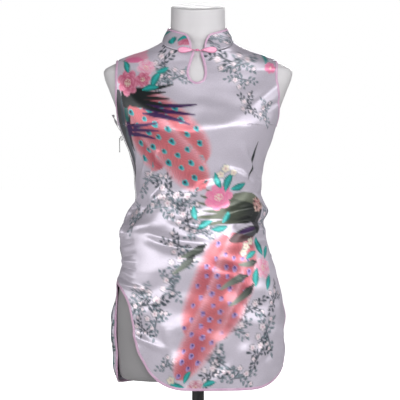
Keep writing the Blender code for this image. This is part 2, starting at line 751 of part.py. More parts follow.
def build_dress(collection):
    right, left = half_front(-1), half_front(1)
    back, collar = back_grid(), Sheet(collar_grid())
    rows, columns = range(right.rows - 1), range(right.columns - 1)

    centre, side_rows = row_heights(FRONT_UPPER_ROWS)
    keyhole_rows = [j for j in rows if centre[j] > KEYHOLE_BOTTOM - 1]
    slit_rows = [j for j in rows if side_rows[j] < SLIT_TOP + 1]
    for name, sheets in (("front_panel", (right, left)), ("back_panel", (back,)), ("collar", (collar,))):
        inner, faces = joined([(sheet.points, sheet.all_faces()) for sheet in sheets], 0.001)
        outer, _ = joined([(sheet.raised(CLOTH_WALL), []) for sheet in sheets], 0.001)
        wall_object(name, inner, outer, faces, SATIN, collection)

    last = right.columns - 1
    binding(
        "keyhole_binding",
        [
            moved_out(
                right,
                right.faces(keyhole_rows, [last - 1]),
                [(right.vertex(j, last), right.vertex(j, last - 1)) for j in keyhole_rows[:-1]],
            ),
            moved_out(
                left,
                left.faces(keyhole_rows, [0]),
                [(left.vertex(j, 0), left.vertex(j, 1)) for j in keyhole_rows[:-1]],
            ),
        ],
        collection,
        within=0.4,
    )

    back_last = back.columns - 1
    back_side = row_heights(BACK_UPPER_ROWS)[1]
    armhole_binding("armhole_binding_right", -1, collection)
    armhole_binding("armhole_binding_left", 1, collection)

    hem = right.rows - 1
    binding(
        "front_hem_binding",
        [
            moved_out(
                sheet,
                sheet.faces(slit_rows[:-1], [min(edge, next_in)]) + sheet.faces([hem - 1], columns),
                [(sheet.vertex(j, edge), sheet.vertex(j, next_in)) for j in slit_rows[LIP_START:]]
                + [(sheet.vertex(hem, i), sheet.vertex(hem - 1, i)) for i in range(sheet.columns)],
            )
            for sheet, edge, next_in in ((right, 0, 1), (left, last, last - 1))
        ],
        collection,
    )
    back_hem = back.rows - 1
    back_slit = [j for j in range(back.rows - 1) if back_side[j] < SLIT_TOP + 1]
    binding(
        "back_hem_binding",
        [
            moved_out(
                back,
                back.faces(back_slit[:-1], [0, back_last - 1]) + back.faces([back_hem - 1], range(back_last)),
                [(back.vertex(j, 0), back.vertex(j, 1)) for j in back_slit[LIP_START:]]
                + [(back.vertex(j, back_last), back.vertex(j, back_last - 1)) for j in back_slit[LIP_START:]]
                + [(back.vertex(back_hem, i), back.vertex(back_hem - 1, i)) for i in range(back.columns)],
            )
        ],
        collection,
    )
    collar_last = collar.columns - 1
    binding(
        "collar_binding",
        [
            moved_out(
                collar,
                collar.faces([0], range(collar_last)) + collar.faces(range(1, collar.rows - 1), [0, collar_last - 1]),
                [(collar.vertex(0, i), collar.vertex(1, i)) for i in range(1, collar_last)]
                + [(collar.vertex(j, 0), collar.vertex(j, 1)) for j in range(collar.rows)]
                + [(collar.vertex(j, collar_last), collar.vertex(j, collar_last - 1)) for j in range(collar.rows)],
            )
        ],
        collection,
    )
    return right


# ---------------------------------------------------------------- the dress form and its stand


def build_form(collection):
    turn = np.radians(np.linspace(-180, 180, FORM_COLUMNS, endpoint=False))
    rings = np.array([form_point(turn, np.full_like(turn, height)) for height in FORM_RINGS])
    lean = np.clip((rings[..., 2] - NECK_LEAN_FROM) / (FORM_RINGS[0] - NECK_LEAN_FROM), 0, 1)
    rings[..., 2] += lean * NECK_TILT * rings[..., 1]
    sheet = Sheet(rings)
    faces = sheet.faces(range(sheet.rows - 1), range(FORM_COLUMNS))
    faces.append([sheet.vertex(0, i) for i in range(FORM_COLUMNS)])
    faces.append([sheet.vertex(sheet.rows - 1, FORM_COLUMNS - 1 - i) for i in range(FORM_COLUMNS)])
    made = surface_object("dress_form", sheet.points, faces, SHELL, collection)
    made.data.set_sharp_from_angle(angle=math.radians(50))


def turned(name, profile, look, collection, steps=ROUND_STEPS, ring=False):
    """A solid turned about Z from a profile of (radius, height) that runs from its top down its outer side. A ring's
    profile closes on itself."""
    mesh = bpy.data.meshes.new(name)
    points = [(radius * MM, 0, height * MM) for radius, height in profile]
    edges = [(i, i + 1) for i in range(len(points) - 1)]
    if ring:
        edges.append((len(points) - 1, 0))
    mesh.from_pydata(points, edges, [])
    made = add_object(name, mesh, look, collection)
    screw = made.modifiers.new("turn", "SCREW")
    screw.steps = steps
    screw.render_steps = steps
    screw.use_merge_vertices = True
    screw.merge_threshold = MERGE
    return made


def build_stand(collection):
    edge = 2.0
    turned(
        "stand_base",
        [
            (0, BASE_THICKNESS),
            (BASE_RADIUS - edge, BASE_THICKNESS),
            (BASE_RADIUS, BASE_THICKNESS - edge),
            (BASE_RADIUS, 0),
            (0, 0),
        ],
        BLACK,
        collection,
    )
    hub_foot = BASE_THICKNESS + SEAM_GAP
    turned(
        "stand_hub",
        [
            (POLE_RADIUS + SEAM_GAP, hub_foot + HUB_HEIGHT),
            (HUB_RADIUS - 8, hub_foot + HUB_HEIGHT),
            (HUB_RADIUS, hub_foot + 4),
            (HUB_RADIUS, hub_foot),
            (POLE_RADIUS + SEAM_GAP, hub_foot),
        ],
        BLACK,
        collection,
        steps=THIN_STEPS,
        ring=True,
    )
    flange_foot = FORM_BOTTOM - SEAM_GAP - FLANGE_THICKNESS
    turned(
        "stand_flange",
        [
            (0, flange_foot + FLANGE_THICKNESS),
            (FLANGE_RADIUS, flange_foot + FLANGE_THICKNESS),
            (FLANGE_RADIUS, flange_foot + 1.5),
            (FLANGE_RADIUS - 4, flange_foot),
            (0, flange_foot),
        ],
        BLACK,
        collection,
    )
    turned(
        "stand_pole",
        [
            (0, flange_foot - SEAM_GAP),
            (POLE_RADIUS, flange_foot - SEAM_GAP),
            (POLE_RADIUS, hub_foot),
            (0, hub_foot),
        ],
        BLACK,
        collection,
        steps=THIN_STEPS,
    )


# ---------------------------------------------------------------- fastenings


def build_zip(collection, right):
    """The tape over the -X side seam, its open upper end, the slider and the pull tab that hangs from it."""
    side_rows = row_heights(FRONT_UPPER_ROWS)[1]
    seam_rows = [j for j in range(right.rows) if ZIP_BOTTOM < side_rows[j] < TAPE_TOP]
    middle, outward = [], []
    for j in seam_rows:
        a = right.vertex(j, 0)
        normal = right.normals[a] * [1, 0, 1]
        middle.append(right.points[a] * [1, 0, 1])
        outward.append(normal / np.linalg.norm(normal))
    middle, outward = np.array(middle), np.array(outward)
    on_cloth = middle + outward * (CLOTH_WALL + SEAM_GAP + TAPE_SEAT)
    free = np.array([[x, 0, height] for x, height in ZIP_FREE_END])
    line = np.concatenate([free, on_cloth])
    across = np.array([[0, -ZIP_WIDTH / 2, 0], [0, 0, 0], [0, ZIP_WIDTH / 2, 0]])
    sheet = Sheet(line[:, None, :] + across[None, ::-1, :])
    surface_object(
        "zip_tape", sheet.points, sheet.faces(range(sheet.rows - 1), range(2)), TAPE, collection, wall=ZIP_WALL
    )

    pivot_x, pivot_z = PULL_PIVOT
    body = bmesh.new()
    bmesh.ops.create_cube(body, size=1)
    bmesh.ops.scale(body, vec=[size * MM for size in SLIDER_SIZE], verts=body.verts)
    mesh = bpy.data.meshes.new("zip_slider")
    body.to_mesh(mesh)
    body.free()
    slider = add_object("zip_slider", mesh, ZIP_METAL, collection)
    slider.location = ((pivot_x + SLIDER_OFFSET[0]) * MM, 0, (pivot_z + SLIDER_OFFSET[1]) * MM)
    slider.rotation_euler = (0, math.radians(SLIDER_TILT), 0)
    soften = slider.modifiers.new("edges", "BEVEL")
    soften.width = SLIDER_EDGE * MM
    soften.segments = 1

    pull = bpy.data.curves.new("zip_pull", "CURVE")
    pull.dimensions = "2D"
    pull.fill_mode = "BOTH"
    pull.extrude = PULL_WALL / 2 * MM
    spline = pull.splines.new("POLY")
    half, waist = PULL_WIDTH / 2, PULL_WIDTH / 3
    shape = [
        (half, 1.5),
        (half, -3.0),
        (waist, -6.0),
        (waist, -14.0),
        (half, -20.0),
        (half, -PULL_LENGTH + 2),
        (half - 1.2, -PULL_LENGTH),
        (-half + 1.2, -PULL_LENGTH),
        (-half, -PULL_LENGTH + 2),
        (-half, -20.0),
        (-waist, -14.0),
        (-waist, -6.0),
        (-half, -3.0),
        (-half, 1.5),
    ]
    spline.points.add(len(shape) - 1)
    for point, (x, y) in zip(spline.points, shape):
        point.co = (x * MM, y * MM, 0, 1)
    spline.use_cyclic_u = True
    tab = bpy.data.objects.new("zip_pull", pull)
    collection.objects.link(tab)
    pull.materials.append(material(ZIP_METAL))
    tab.location = (pivot_x * MM, 0, pivot_z * MM)
    tab.rotation_euler = (math.radians(90), 0, math.radians(90))
    weld = tab.modifiers.new("weld", "WELD")
    weld.merge_threshold = MERGE


def leaf_object(name, side, collection):
    """A padded leaf of the frog, domed, with its tip towards the centre front."""
    rings, points = 3, []
    steps = 20
    for ring in range(rings + 1):
        size = 1 - ring / (rings + 0.6)
        lift = FROG_THICKNESS * math.sqrt(1 - size**2)
        for i in range(steps):
            u = 2 * math.pi * i / steps
            along = 0.5 - 0.5 * math.cos(u)
            width = FROG_WIDTH / 2 * math.sin(u) * (0.35 + 0.65 * along) * FROG_PLUMPNESS
            x = FROG_INNER_END + FROG_LENGTH * along
            middle = FROG_INNER_END + FROG_LENGTH * 0.6
            points.append((middle + (x - middle) * size, width * size, lift))
    faces = [
        [ring * steps + i, ring * steps + (i + 1) % steps, (ring + 1) * steps + (i + 1) % steps, (ring + 1) * steps + i]
        for ring in range(rings)
        for i in range(steps)
    ]
    faces.append([rings * steps + i for i in range(steps)])
    faces.append([i for i in reversed(range(steps))])
    placed = []
    for x, up, out in points:
        turn = math.asin(x / 92)
        ground = cloth_point(np.array(side * turn), np.array(FROG_HEIGHT - 4))
        depth = min(ground[1] - CLOTH_WALL, -FROG_LEAST_DEPTH) - SEAM_GAP - FROG_SEAT
        placed.append((side * x, depth - out + up * FROG_LEAN, FROG_HEIGHT + up))
    if side > 0:
        faces = [face[::-1] for face in faces]
    return surface_object(name, placed, faces, FROG_PINK, collection)


def build_frog(collection):
    leaf_object("frog_right", -1, collection)
    leaf_object("frog_left", 1, collection)
    cord = bpy.data.curves.new("frog_knot", "CURVE")
    cord.dimensions = "3D"
    cord.bevel_depth = CORD_RADIUS * MM
    cord.bevel_resolution = 2
    cord.use_fill_caps = True
    spline = cord.splines.new("POLY")
    route = [
        # x, height, thickness
        (-10.6, 0.0, 1.0),
        (-7.5, -0.6, 1.0),
        (-5.2, -0.6, 1.3),
        (-3.6, -0.4, 2.4),
        (-1.6, -0.4, 2.7),
        (0.4, -0.6, 2.3),
        (2.2, -1.4, 1.2),
        (5.0, -1.6, 1.0),
        (7.8, -0.8, 1.0),
        (10.6, 0.0, 1.0),
    ]
    spline.points.add(len(route) - 1)
    for point, (x, up, thick) in zip(spline.points, route):
        point.co = (x * MM, -KNOT_DEPTH * MM, (FROG_HEIGHT + up) * MM, 1)
        point.radius = thick
    made = bpy.data.objects.new("frog_knot", cord)
    cord.materials.append(material(FROG_PINK))
    collection.objects.link(made)
    weld = made.modifiers.new("weld", "WELD")
    weld.merge_threshold = MERGE


def main():
    for old in list(bpy.data.objects):
        bpy.data.objects.remove(old, do_unlink=True)
    collection = bpy.data.collections.new("cheongsam_on_dress_form")
    bpy.context.scene.collection.children.link(collection)
    right = build_dress(collection)
    build_form(collection)
    build_stand(collection)
    build_zip(collection, right)
    build_frog(collection)


main()
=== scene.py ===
"""The looks of a sleeveless mini cheongsam that hangs on a limbless dress form on a short stand.

Sizes are in millimetres and degrees unless a name says otherwise. The dress's front faces -Y. An angle of 0
is at the centre front, +90 at the +X side, 180 at the centre back and -90 at the -X side.
"""

import math

import bpy
import numpy as np
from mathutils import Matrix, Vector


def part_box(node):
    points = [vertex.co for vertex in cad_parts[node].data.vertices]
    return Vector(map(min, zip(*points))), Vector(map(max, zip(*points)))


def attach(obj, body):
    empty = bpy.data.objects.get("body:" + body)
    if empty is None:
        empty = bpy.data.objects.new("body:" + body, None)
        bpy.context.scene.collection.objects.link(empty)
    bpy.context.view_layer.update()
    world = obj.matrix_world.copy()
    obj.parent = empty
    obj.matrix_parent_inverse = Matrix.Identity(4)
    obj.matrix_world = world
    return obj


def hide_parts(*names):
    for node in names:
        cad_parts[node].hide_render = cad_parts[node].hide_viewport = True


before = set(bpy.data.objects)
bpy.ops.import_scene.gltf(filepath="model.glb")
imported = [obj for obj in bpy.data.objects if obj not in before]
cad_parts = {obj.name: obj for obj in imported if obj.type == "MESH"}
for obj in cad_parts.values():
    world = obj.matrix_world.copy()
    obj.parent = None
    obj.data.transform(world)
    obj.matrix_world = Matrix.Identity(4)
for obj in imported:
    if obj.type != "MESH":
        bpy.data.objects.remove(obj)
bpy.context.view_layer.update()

MM = 0.001

# ---------------------------------------------------------------- the dress form
# A limbless torso in pale shell, moulded in one with a flat-topped neck and two short shoulder stubs. It is
# turned out of a mould, sanded and sprayed in a soft half-gloss finish. Its colour carries painted shade: it
# grows greyer towards the foot, where the dress shades the form.

FORM_ROWS = [
    # height, half_width, front, back, squareness
    (992, 55.0, 52, 60, 2.0),
    (965, 55.5, 49, 61, 2.0),
    (940, 57.0, 46, 64, 2.0),
    (926, 58.5, 45, 67, 2.0),
    (917, 64.0, 44, 72, 2.0),
    (908, 80.0, 46, 80, 2.05),
    (900, 103, 49, 86, 2.1),
    (892, 125, 53, 91, 2.15),
    (885, 146, 57, 94, 2.2),
    (879, 162, 60, 97, 2.3),
    (872, 177, 64, 99, 2.4),
    (865, 189, 68, 101, 2.5),
    (858, 193, 71, 102, 2.5),
    (846, 191, 77, 104, 2.5),
    (822, 182, 88, 105, 2.45),
    (785, 168, 102, 104, 2.4),
    (752, 157.5, 109, 101, 2.3),
    (724, 149, 107, 96, 2.3),
    (687, 134, 98, 88, 2.2),
    (650, 124.5, 90, 80, 2.15),
    (610, 121, 86, 75.5, 2.1),
    (575, 123, 88, 78, 2.1),
    (540, 128.5, 94, 87, 2.15),
    (500, 138, 101, 101, 2.2),
    (455, 151, 106, 114, 2.25),
    (410, 163, 105.5, 121, 2.3),
    (360, 170, 103, 121, 2.3),
    (310, 171, 100, 115, 2.3),
    (262, 168, 98, 108, 2.3),
    (244, 163, 94, 103, 2.3),
    (234, 156, 88, 97, 2.3),
    (230, 148, 80, 89, 2.3),
]
BUST_ANGLE = 39.0
BUST_HEIGHT = 748.0
BUST_SPREAD = 20.0
BUST_UP = 62.0
BUST_DOWN = 46.0
BUST_RISE = 8.5
NECK_TILT = 0.17
NECK_LEAN_FROM = 950.0
FORM_COLUMNS = 144
CAP_RINGS = [
    # share of the neck's size, rise
    (0.02, 1.5),
    (0.5, 1.5),
    (0.97, 1.5),
    (0.992, 1.1),
]
FOOT_RINGS = (0.99, 0.6, 0.02)
FOOT_DROP = 0.6


def smooth(table, column):
    """A curve of that column over the table's first one: cubic pieces whose slope at a row is the harmonic
    mean of the slopes on its two sides, and 0 at a peak, so that it never overshoots."""
    rows = sorted(table)
    x = np.array([row[0] for row in rows], float)
    y = np.array([row[column] for row in rows], float)
    step = np.diff(x)
    slope = np.diff(y) / step
    rising = slope[1:] * slope[:-1]
    middle = np.where(rising > 0, 2 * rising / np.where(rising > 0, slope[1:] + slope[:-1], 1), 0)
    tangent = np.concatenate([slope[:1], middle, slope[-1:]])

    def at(place):
        i = np.clip(np.searchsorted(x, place) - 1, 0, len(step) - 1)
        u = np.clip((place - x[i]) / step[i], 0, 1)
        return (
            y[i] * (1 + 2 * u) * (1 - u) ** 2
            + tangent[i] * step[i] * u * (1 - u) ** 2
            + y[i + 1] * (3 - 2 * u) * u**2
            - tangent[i + 1] * step[i] * (1 - u) * u**2
        )

    return at


FORM_AT = [smooth(FORM_ROWS, column) for column in (1, 1, 2, 3, 4)]


def half_axes(section, angle, height):
    """The half width and the depth on that side of a section, and its squareness."""
    right, left, front, back, squareness = (curve(height) for curve in section)
    return np.where(np.sin(angle) < 0, right, left), np.where(np.cos(angle) > 0, front, back), squareness


def outline(section, angle, height):
    """A superellipse: the ellipse's point at the angle, moved out by (|sin|^q + |cos|^q)^(-1/q)."""
    across, along, q = half_axes(section, angle, height)
    s, c = np.sin(angle), np.cos(angle)
    out = (np.abs(s) ** q + np.abs(c) ** q) ** (-1 / q)
    return across * s * out, -along * c * out


def bust(direction, height, spread):
    """Two soft mounds: bells over the angle from the centre front, times a bell over the height."""
    up = np.where(height > BUST_HEIGHT, BUST_UP, BUST_DOWN)
    level = np.degrees(np.arctan2(np.sin(direction), np.cos(direction)))
    tall = np.exp(-(((height - BUST_HEIGHT) / up) ** 2))
    return BUST_RISE * tall * sum(np.exp(-(((level - side * BUST_ANGLE) / spread) ** 2)) for side in (-1, 1))


def mesh_object(name, points, faces, uv=None, paint=None):
    """A smooth-shaded mesh of points in millimetres and of faces as rows of point numbers. uv and paint
    have one row for each point."""
    mesh = bpy.data.meshes.new(name)
    faces = faces if isinstance(faces, list) else faces.tolist()
    mesh.from_pydata((points.reshape(-1, 3) * MM).tolist(), [], faces)
    mesh.shade_smooth()
    if uv is not None:
        corner = np.empty(len(mesh.loops), np.int32)
        mesh.loops.foreach_get("vertex_index", corner)
        mesh.uv_layers.new(name="cloth").data.foreach_set("uv", uv[corner].astype(np.float32).ravel())
    if paint is not None:
        layer = mesh.attributes.new("print", "FLOAT_COLOR", "POINT")
        layer.data.foreach_set("color", np.c_[paint, np.ones(len(paint))].astype(np.float32).ravel())
    return placed_in_scene(name, mesh)


def placed_in_scene(name, data):
    """An object of that mesh, light, curve or camera, at the origin."""
    made = bpy.data.objects.new(name, data)
    bpy.context.scene.collection.objects.link(made)
    return made


def numbered(grid):
    """The number of each point of a grid, counted row after row."""
    return np.arange(grid[..., 0].size).reshape(grid.shape[:2])


def cells(index, wrap=False):
    """The quads of a grid of point numbers, rows down and columns from -X to +X seen from outside."""
    if wrap:
        index = np.concatenate([index, index[:, :1]], axis=1)
    return np.stack([index[:-1, :-1], index[1:, :-1], index[1:, 1:], index[:-1, 1:]], axis=-1).reshape(-1, 4)


def skin(index, closed=False):
    """The faces of a grid that joins itself sideways. Its first and last rows join each other if it is
    closed, and have a flat face each if not."""
    if closed:
        return cells(np.concatenate([index, index[:1]]), wrap=True).tolist()
    return cells(index, wrap=True).tolist() + [index[0].tolist(), index[-1][::-1].tolist()]


class Look:
    """A material, with short calls for its nodes. Values of the shader's own sockets are given by name. Its
    patterns lie on Object coordinates, or on the UV map of that name."""

    def __init__(self, name, uv_map=None, **sockets):
        self.material = bpy.data.materials.new(name)
        self.material.use_nodes = True
        self.tree = self.material.node_tree
        self.shader = self.tree.nodes["Principled BSDF"]
        for socket, value in sockets.items():
            self.shader.inputs[socket.replace("_", " ").title().replace("Ior", "IOR")].default_value = value
        if uv_map:
            self.place = self.node("ShaderNodeUVMap", uv_map=uv_map).outputs[0]
        else:
            self.place = self.node("ShaderNodeTexCoord").outputs["Object"]

    def node(self, kind, *values, **settings):
        """A node with its first sockets joined to the given outputs or set to the given values."""
        made = self.tree.nodes.new(kind)
        for setting, value in settings.items():
            setattr(made, setting, value)
        for socket, value in zip(made.inputs, values):
            if isinstance(value, bpy.types.NodeSocket):
                self.tree.links.new(value, socket)
            elif value is not None:
                socket.default_value = value
        return made

    def noise(self, scale, detail=3.0, rough=0.55):
        made = self.node("ShaderNodeTexNoise", self.place)
        made.inputs["Scale"].default_value = scale
        made.inputs["Detail"].default_value = detail
        made.inputs["Roughness"].default_value = rough
        return made.outputs["Fac"]

    def ramp(self, fac, *stops):
        """A colour ramp through (place, colour) stops; a colour may be one grey number."""
        made = self.node("ShaderNodeValToRGB", fac)
        bar = made.color_ramp.elements
        while len(bar) < len(stops):
            bar.new(0.5)
        for element, (place, colour) in zip(bar, stops):
            element.position = place
            element.color = (*colour, 1) if hasattr(colour, "__len__") else (colour, colour, colour, 1)
        return made.outputs[0]

    def grain(self, scale, detail, strength, distance_mm, rough=0.55):
        """A bump of noise, so many millimetres high."""
        made = self.node("ShaderNodeBump")
        made.inputs["Strength"].default_value = strength
        made.inputs["Distance"].default_value = distance_mm * MM
        self.tree.links.new(self.noise(scale, detail, rough), made.inputs["Height"])
        self.set("Normal", made.outputs[0])

    def mottle(self, scale, *stops):
        """A base colour that wanders through the ramp's stops with noise of that scale."""
        self.set("Base Color", self.ramp(self.noise(scale), *stops))

    def set(self, socket, output):
        self.tree.links.new(output, self.shader.inputs[socket])

    def on(self, *objects):
        for made in objects:
            made.data.materials.clear()
            made.data.materials.append(self.material)


def turned_rings(heights):
    """The form's rings at those heights, with the neck's upper ones tilted up towards the back."""
    turn = np.radians(np.linspace(-180, 180, FORM_COLUMNS, endpoint=False))
    turn, height = np.meshgrid(turn, heights)
    x, y = outline(FORM_AT, turn, height)
    scale = 1 + bust(np.arctan2(x, -y), height, BUST_SPREAD) / np.hypot(x, y)
    lean = np.clip((height - NECK_LEAN_FROM) / (FORM_ROWS[0][0] - NECK_LEAN_FROM), 0, 1)
    return np.stack([x * scale, y * scale, height + lean * NECK_TILT * y * scale], axis=-1)


form_heights = np.concatenate(
    [
        np.linspace(990.5, 930, 30),
        np.linspace(928, 840, 60),
        np.linspace(836, 250, 90),
        np.linspace(247, 230.6, 12),
    ]
)
form_rings = turned_rings(form_heights)
cap = np.array([form_rings[0] * [size, size, 1] + [0, 0, rise] for size, rise in CAP_RINGS])
cap[:, :, 2] += NECK_TILT * (cap[:, :, 1] - form_rings[0][:, 1])
foot_rings = np.array([form_rings[-1] * [size, size, 1] - [0, 0, FOOT_DROP] for size in FOOT_RINGS])
form_grid = np.concatenate([cap, form_rings, foot_rings])
form = mesh_object("dress_form_shell", form_grid, skin(numbered(form_grid)))

FORM_PAINTED_SHADE_STOPS = [
    # height in metres, colour: painted shade, greyer towards the foot, which stands in the shade of the dress
    (0.40, (0.27, 0.262, 0.27)),
    (0.56, (0.40, 0.39, 0.40)),
    (0.86, (0.60, 0.585, 0.60)),
]
shell = Look("form_half_gloss_shell_painted_shade", roughness=0.46, coat_weight=0.12, coat_roughness=0.3)
shell_height = shell.node("ShaderNodeSeparateXYZ", shell.place).outputs["Z"]
# The ramp's place is the height with a little noise, so that the painted shade darkens the shell towards its
# foot.
noisy_shade_height = shell.node("ShaderNodeMath", shell.noise(9), 0.1, shell_height, operation="MULTIPLY_ADD").outputs[0]
shell.set("Base Color", shell.ramp(noisy_shade_height, *FORM_PAINTED_SHADE_STOPS))
shell.grain(420, 2, 0.12, 0.2)
shell.on(form)
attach(form, "dressed_form")
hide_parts("dress_form")

# ---------------------------------------------------------------- the stand
# A round steel plate, a hub, a straight pole and the flange that screws under the form. They are turned,
# welded and coated in black powder paint.

black = Look("black_powder_coat", roughness=0.38, coat_weight=0.1)
black.mottle(60, (0.3, 0.006), (0.8, 0.014))
black.grain(900, 1, 0.1, 0.1)


def lathe(name, profile, steps=96):
    """A solid turned about Z from a closed profile of (radius, height), from the top of its axis down its
    outside to the foot of its axis. It is shaded sharp where it turns by more than 35 degrees."""
    turn = np.linspace(0, 2 * math.pi, steps, endpoint=False)
    radius, height = np.array(profile[1:-1], float).T
    across, along = np.outer(radius, np.cos(turn)), np.outer(radius, np.sin(turn))
    rings = np.stack([across, along, np.outer(height, np.ones(steps))], axis=-1)
    made = mesh_object(name, rings, skin(numbered(rings)))
    made.data.set_sharp_from_angle(angle=math.radians(35))
    return made


STAND_PROFILES = {
    "stand_base": [(0, 8), (146, 8), (149, 7.2), (150, 5.8), (150, 1), (149.3, 0), (0, 0)],
    "stand_flange": [
        (0, 229.7),
        (37.4, 229.7),
        (38, 229.2),
        (38, 227.6),
        (36.5, 226.6),
        (33.6, 225.7),
        (0, 225.7),
    ],
}
for stand_node, profile in STAND_PROFILES.items():
    plate = lathe(stand_node + "_turned", profile)
    black.on(plate)
    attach(plate, "dressed_form")
    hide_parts(stand_node)
black.on(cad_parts["stand_hub"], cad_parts["stand_pole"])

# ---------------------------------------------------------------- the front
# The front of the dress is one panel of printed satin on both sides of a keyhole. It is joined to the back
# at the shoulders and down the sides to the slits, and hangs pulled over to the wearer's left, so that its
# folds run there.

CLOTH_WALL = 1.2
REST_CLEARANCE = 1.1
SHOULDER_CLEARANCE = 1.9
SHOULDER_POINT = 920.0
SHOULDER_TIP = 881.0
ARMHOLE_BOTTOM = 752.0
FRONT_NECK = 899.0
KEYHOLE_BOTTOM = 836.0
SLIT_TOP = 436.0
HEM = 217.0
SEAM_BACK = 0.06  # how far a panel's side edge stays back from the seam's line

CLOTH_ROWS = [
    # height, right_half, left_half, front, back, squareness
    (926, 69.0, 68.0, 52.5, 79, 2.0),
    (920, 74.0, 73.0, 54, 82, 2.0),
    (912, 87.0, 84.5, 55.5, 86, 2.05),
    (901, 111, 108, 57.5, 91, 2.1),
    (894, 134, 131, 59.5, 94, 2.15),
    (887, 153, 149, 62, 97, 2.2),
    (SHOULDER_TIP, 167, 163, 64.5, 100, 2.3),
    (872, 182, 182, 68, 103, 2.4),
    (860, 196.5, 196.5, 74, 106, 2.5),
    (846, 195, 195, 81, 108, 2.5),
    (822, 186, 186, 93, 109, 2.5),
    (785, 173.5, 172, 108, 108.5, 2.5),
    (ARMHOLE_BOTTOM, 163, 162, 115, 106, 2.45),
    (736, 156.5, 156, 116, 104, 2.4),
    (711, 144, 147, 113.5, 100.5, 2.35),
    (687, 137.5, 139, 109, 97.5, 2.3),
    (662, 131, 133, 104, 95, 2.2),
    (637, 127.5, 129, 100, 93, 2.2),
    (613, 127, 129, 97.5, 92.5, 2.15),
    (588, 127.5, 137, 97, 94, 2.15),
    (572, 135, 140.5, 98, 96, 2.15),
    (553, 145, 133, 100, 99, 2.2),
    (528, 159, 138, 103.5, 103, 2.2),
    (502, 158.5, 143.5, 107.5, 107.5, 2.25),
    (478, 157, 149.5, 110.5, 112.5, 2.25),
    (453, 160, 158, 113, 118.5, 2.3),
    (428, 166, 165.5, 114, 124, 2.3),
    (392, 172.5, 172.5, 114, 128.5, 2.35),
    (355, 178, 177.5, 115, 130.5, 2.35),
    (305, 178.5, 178, 115, 130, 2.35),
    (262, 176, 176, 114, 128, 2.35),
    (244, 172, 171.5, 113, 126.5, 2.35),
    (HEM - 2, 163, 163, 111, 124, 2.35),
]
ARMHOLE = [
    # height, right_reach, left_reach
    (SHOULDER_TIP, 167, 163),
    (842, 168, 161),
    (804, 167.5, 165),
    (777, 165, 164.5),
    (ARMHOLE_BOTTOM, 162, 161),
]
KEYHOLE = [
    # height, right_edge, left_edge
    (901, -6, 5),
    (892, -9.4, 6.6),
    (880, -13.3, 10.3),
    (868, -17, 12.7),
    (856, -19.3, 14),
    (846.5, -17, 12.6),
    (840, -11.8, 8.2),
    (KEYHOLE_BOTTOM, -2, -2),
]
RIGHT_EDGES = [
    # height, front_edge, back_edge
    (ARMHOLE_BOTTOM, -90, -90),
    (SLIT_TOP, -90, -90),
    (432, -84, -89.5),
    (427, -75, -88),
    (418, -65, -84),
    (405, -57, -79.5),
    (382, -50, -75),
    (355, -46.5, -72.5),
    (326, -44.5, -71.5),
    (300, -41.5, -70.5),
    (276, -38, -70),
    (258, -34.5, -71),
    (236, -28.5, -77),
]
LEFT_EDGES = [
    # height, front_edge, back_edge
    (ARMHOLE_BOTTOM, 90, 90),
    (600, 92, 92),
    (SLIT_TOP, 96, 96),
    (410, 95.5, 98.5),
    (360, 95, 102),
    (300, 92, 104),
    (275, 85, 105),
    (258, 77, 106.5),
    (232, 63.5, 112),
]
# The curve that each lower corner is cut to, as a power of the way across: the higher, the tighter the
# corner.
CORNER_POWERS = {"front_right": 3.3, "front_left": 6.5, "back_right": 6.0, "back_left": 6.0}

